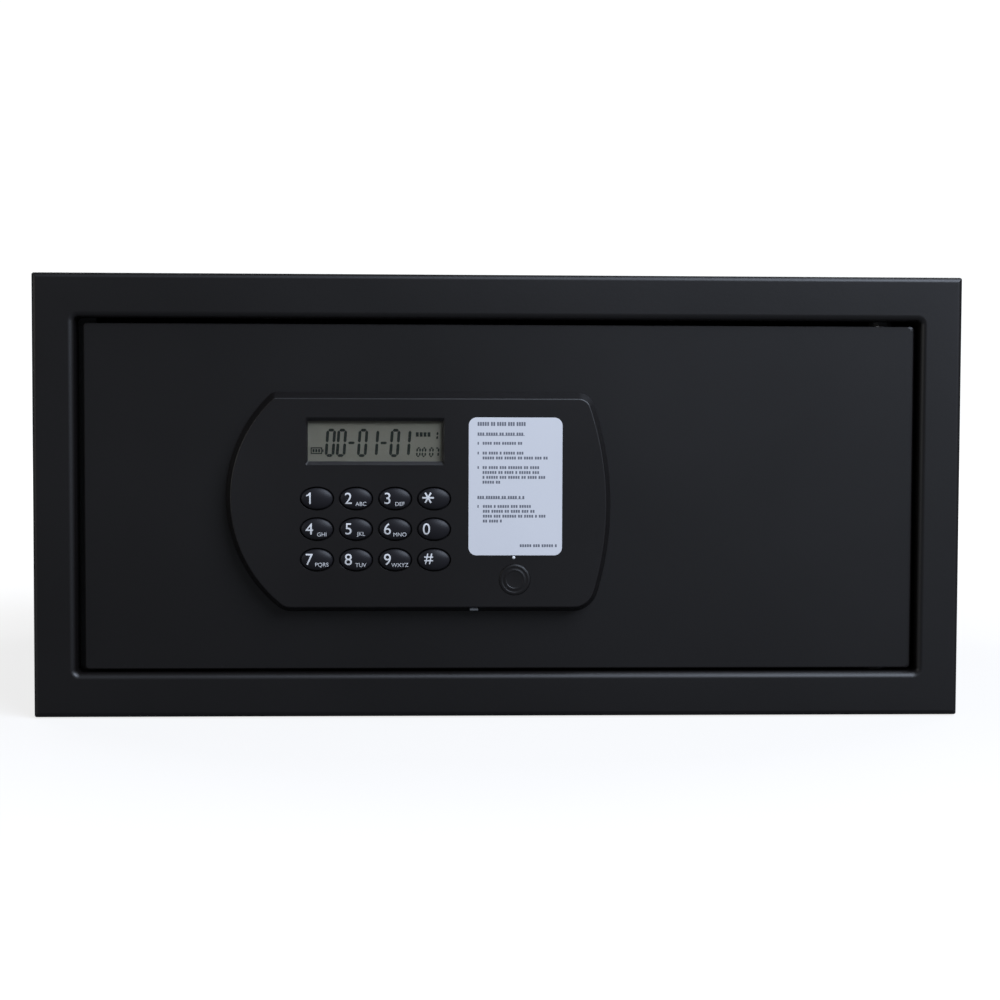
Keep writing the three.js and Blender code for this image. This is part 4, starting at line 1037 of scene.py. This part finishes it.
# ------------------------------------------------------------------ instruction label
WORDS = (3, 5, 2, 4, 3, 6, 2, 4, 1, 5)  # blocks in each word
LINE_STEP = 3  # each line starts this many words further on
LETTER_WIDTH = 0.78
LETTER_PITCH = 1.08
WORD_GAP = 0.6
LABEL_CORNER = 3.6
LABEL_LIFT = 0.025  # how far the print's front stands before the film
LABEL_THICK = 0.02
TITLE_TALL = 1.75
TEXT_TALL = 1.25
TEXT_LEFT = -10.7
TEXT_RIGHT = 10.5
BULLET_RIGHT = -10.1
HALF_RULE = 0.09
HALF_BULLET = 0.6
TITLE = (TEXT_LEFT, 11.7, 33)
TEXT_LINES = (  # left, right, height
    (TEXT_LEFT, 10.5, 28.5), (-8.4, 9.8, 24.3), (-8.4, 10.6, 19.9), (-8.4, 21.5, 17.7),
    (-8.4, 18.6, 13.4), (-8.4, 17.4, 11.2), (-8.4, 21, 9), (-8.4, 0.4, 6.8),
    (TEXT_LEFT, 10.6, 0), (-8.2, 14, -4.1), (-8.2, 15.2, -6.3), (-8.2, 20.2, -8.5),
    (-8.2, 0.6, -10.7), (8.5, 26, -21.8),
)
RULES = (27.8, -0.7)
BULLETS = (24.3, 19.9, 13.4, -4.1)


def add_line(mesh, left, right, z, height, front, offset):
    """A line of small plain blocks, grouped as words, that stands in for a line of small print."""
    x = left
    word = offset
    while x < right - LETTER_WIDTH:
        for _ in range(WORDS[word % len(WORDS)]):
            if x > right - LETTER_WIDTH:
                break
            add_bar(mesh, x, x + LETTER_WIDTH, z - height / 2, z + height / 2, front, LABEL_THICK)
            x += LETTER_PITCH
        x += WORD_GAP
        word += 1


def instruction_label():
    """The film on the unit, with lines of plain blocks, two rules and four bullets."""
    low, high = local_box("instruction_label")
    outline = rounded_rectangle(low[0], high[0], low[2], high[2], LABEL_CORNER, 10)
    film = to_object("label_sheet", loft([at_depth(outline, low[1]), at_depth(outline, high[1])]),
                     MATERIALS["label_film"], "door", ["instruction_label"])
    soften(film, 0.06)
    front = low[1] - LABEL_LIFT
    ink = bmesh.new()
    add_line(ink, *TITLE, TITLE_TALL, front, 1)
    for index, line in enumerate(TEXT_LINES):
        add_line(ink, *line, TEXT_TALL, front, index * LINE_STEP)
    for z in RULES:
        add_bar(ink, TEXT_LEFT, TEXT_RIGHT, z - HALF_RULE, z + HALF_RULE, front, LABEL_THICK)
    for z in BULLETS:
        add_bar(ink, TEXT_LEFT, BULLET_RIGHT, z - HALF_BULLET, z + HALF_BULLET, front, LABEL_THICK)
    to_object("label_print", ink, LABEL_INK, "door")


# ------------------------------------------------------------------ cabin mat
MAT_HOLE_R = 11
MAT_HOLE_X = 120
MAT_HOLE_DEPTH = 190


def floor_mat():
    """The felt mat: soft edges, and a hole over each of the floor's anchor holes."""
    low, high = local_box("floor_mat")
    piece = to_object("felt_mat", block(low[0], high[0], low[1], high[1], low[2], high[2]),
                      MATERIALS["carpet"], "housing", ["floor_mat"])
    ends = (low[2] - PAST, high[2] + PAST)
    holes = [upright_bore(side * MAT_HOLE_X, MAT_HOLE_DEPTH, MAT_HOLE_R, 40, ends)
             for side in (-1, 1)]
    cut(piece, *holes)
    soften(piece, 0.9, 3)
    finish_shading(piece)


# ------------------------------------------------------------------ the frame's own pieces
KEPT = {  # each node, and the rounding of its edges
    "housing_wrapper": 0.5, "rear_panel": 0.5, "strike_bar": 0.4, "kick_spring": 0.1,
    "door_bumper_upper": 0.5, "door_bumper_lower": 0.5, "hinge_bracket_upper": 0.4,
    "hinge_bracket_lower": 0.4, "hinge_bush_upper": 0.15, "hinge_bush_lower": 0.15, "door_plate": 0,
    "inner_cover": 0.3, "hinge_block_upper": 0.4, "hinge_block_lower": 0.4, "hinge_pin_upper": 0.1,
    "hinge_pin_lower": 0.1, "cover_screw_1": 0.1, "cover_screw_2": 0.1, "cover_screw_3": 0.1,
    "cover_screw_4": 0.1, "bolt_upper": 0.2, "bolt_lower": 0.2, "bolt_guide": 0.3,
    "bolt_carrier": 0.15, "drive_pinion": 0.08, "gear_motor": 0.4, "lock_cylinder": 0.2,
    "lock_plug": 0.15, "lock_cam": 0.3, "keymat": 0.2, "control_board": 0.1, "lcd_window": 0.1,
    "service_port": 0.1, "battery_holder": 0.3, "battery_1": 0.3, "battery_2": 0.3,
    "battery_3": 0.3, "battery_4": 0.3, "battery_cover": 0.3, "reset_button": 0.2,
    "wire_harness": 0,
}
KEPT_SHARP = 38
BODY_SHEETS = ("housing_wrapper", "rear_panel")


def dress_frame():
    """Gives the frame's own pieces their materials and soft edges."""
    slots = {row["node"]: row["material_slot"] for row in frame["record"]["subparts"]}
    for node, edge in KEPT.items():
        piece = frame["nodes"][node]
        piece.data.materials.clear()
        piece.data.materials.append(BODY_COAT if node in BODY_SHEETS else MATERIALS[slots[node]])
        if edge:
            soften(piece, edge)
        finish_shading(piece, KEPT_SHARP)


make_camera()
make_stage()
make_world()
make_light()
dress_frame()
front_frame()
keypad_housing()
for key in LEGENDS:
    key_cap(key)
    key_legend(key)
lock_cover()
status_led()
display()
instruction_label()
floor_mat()
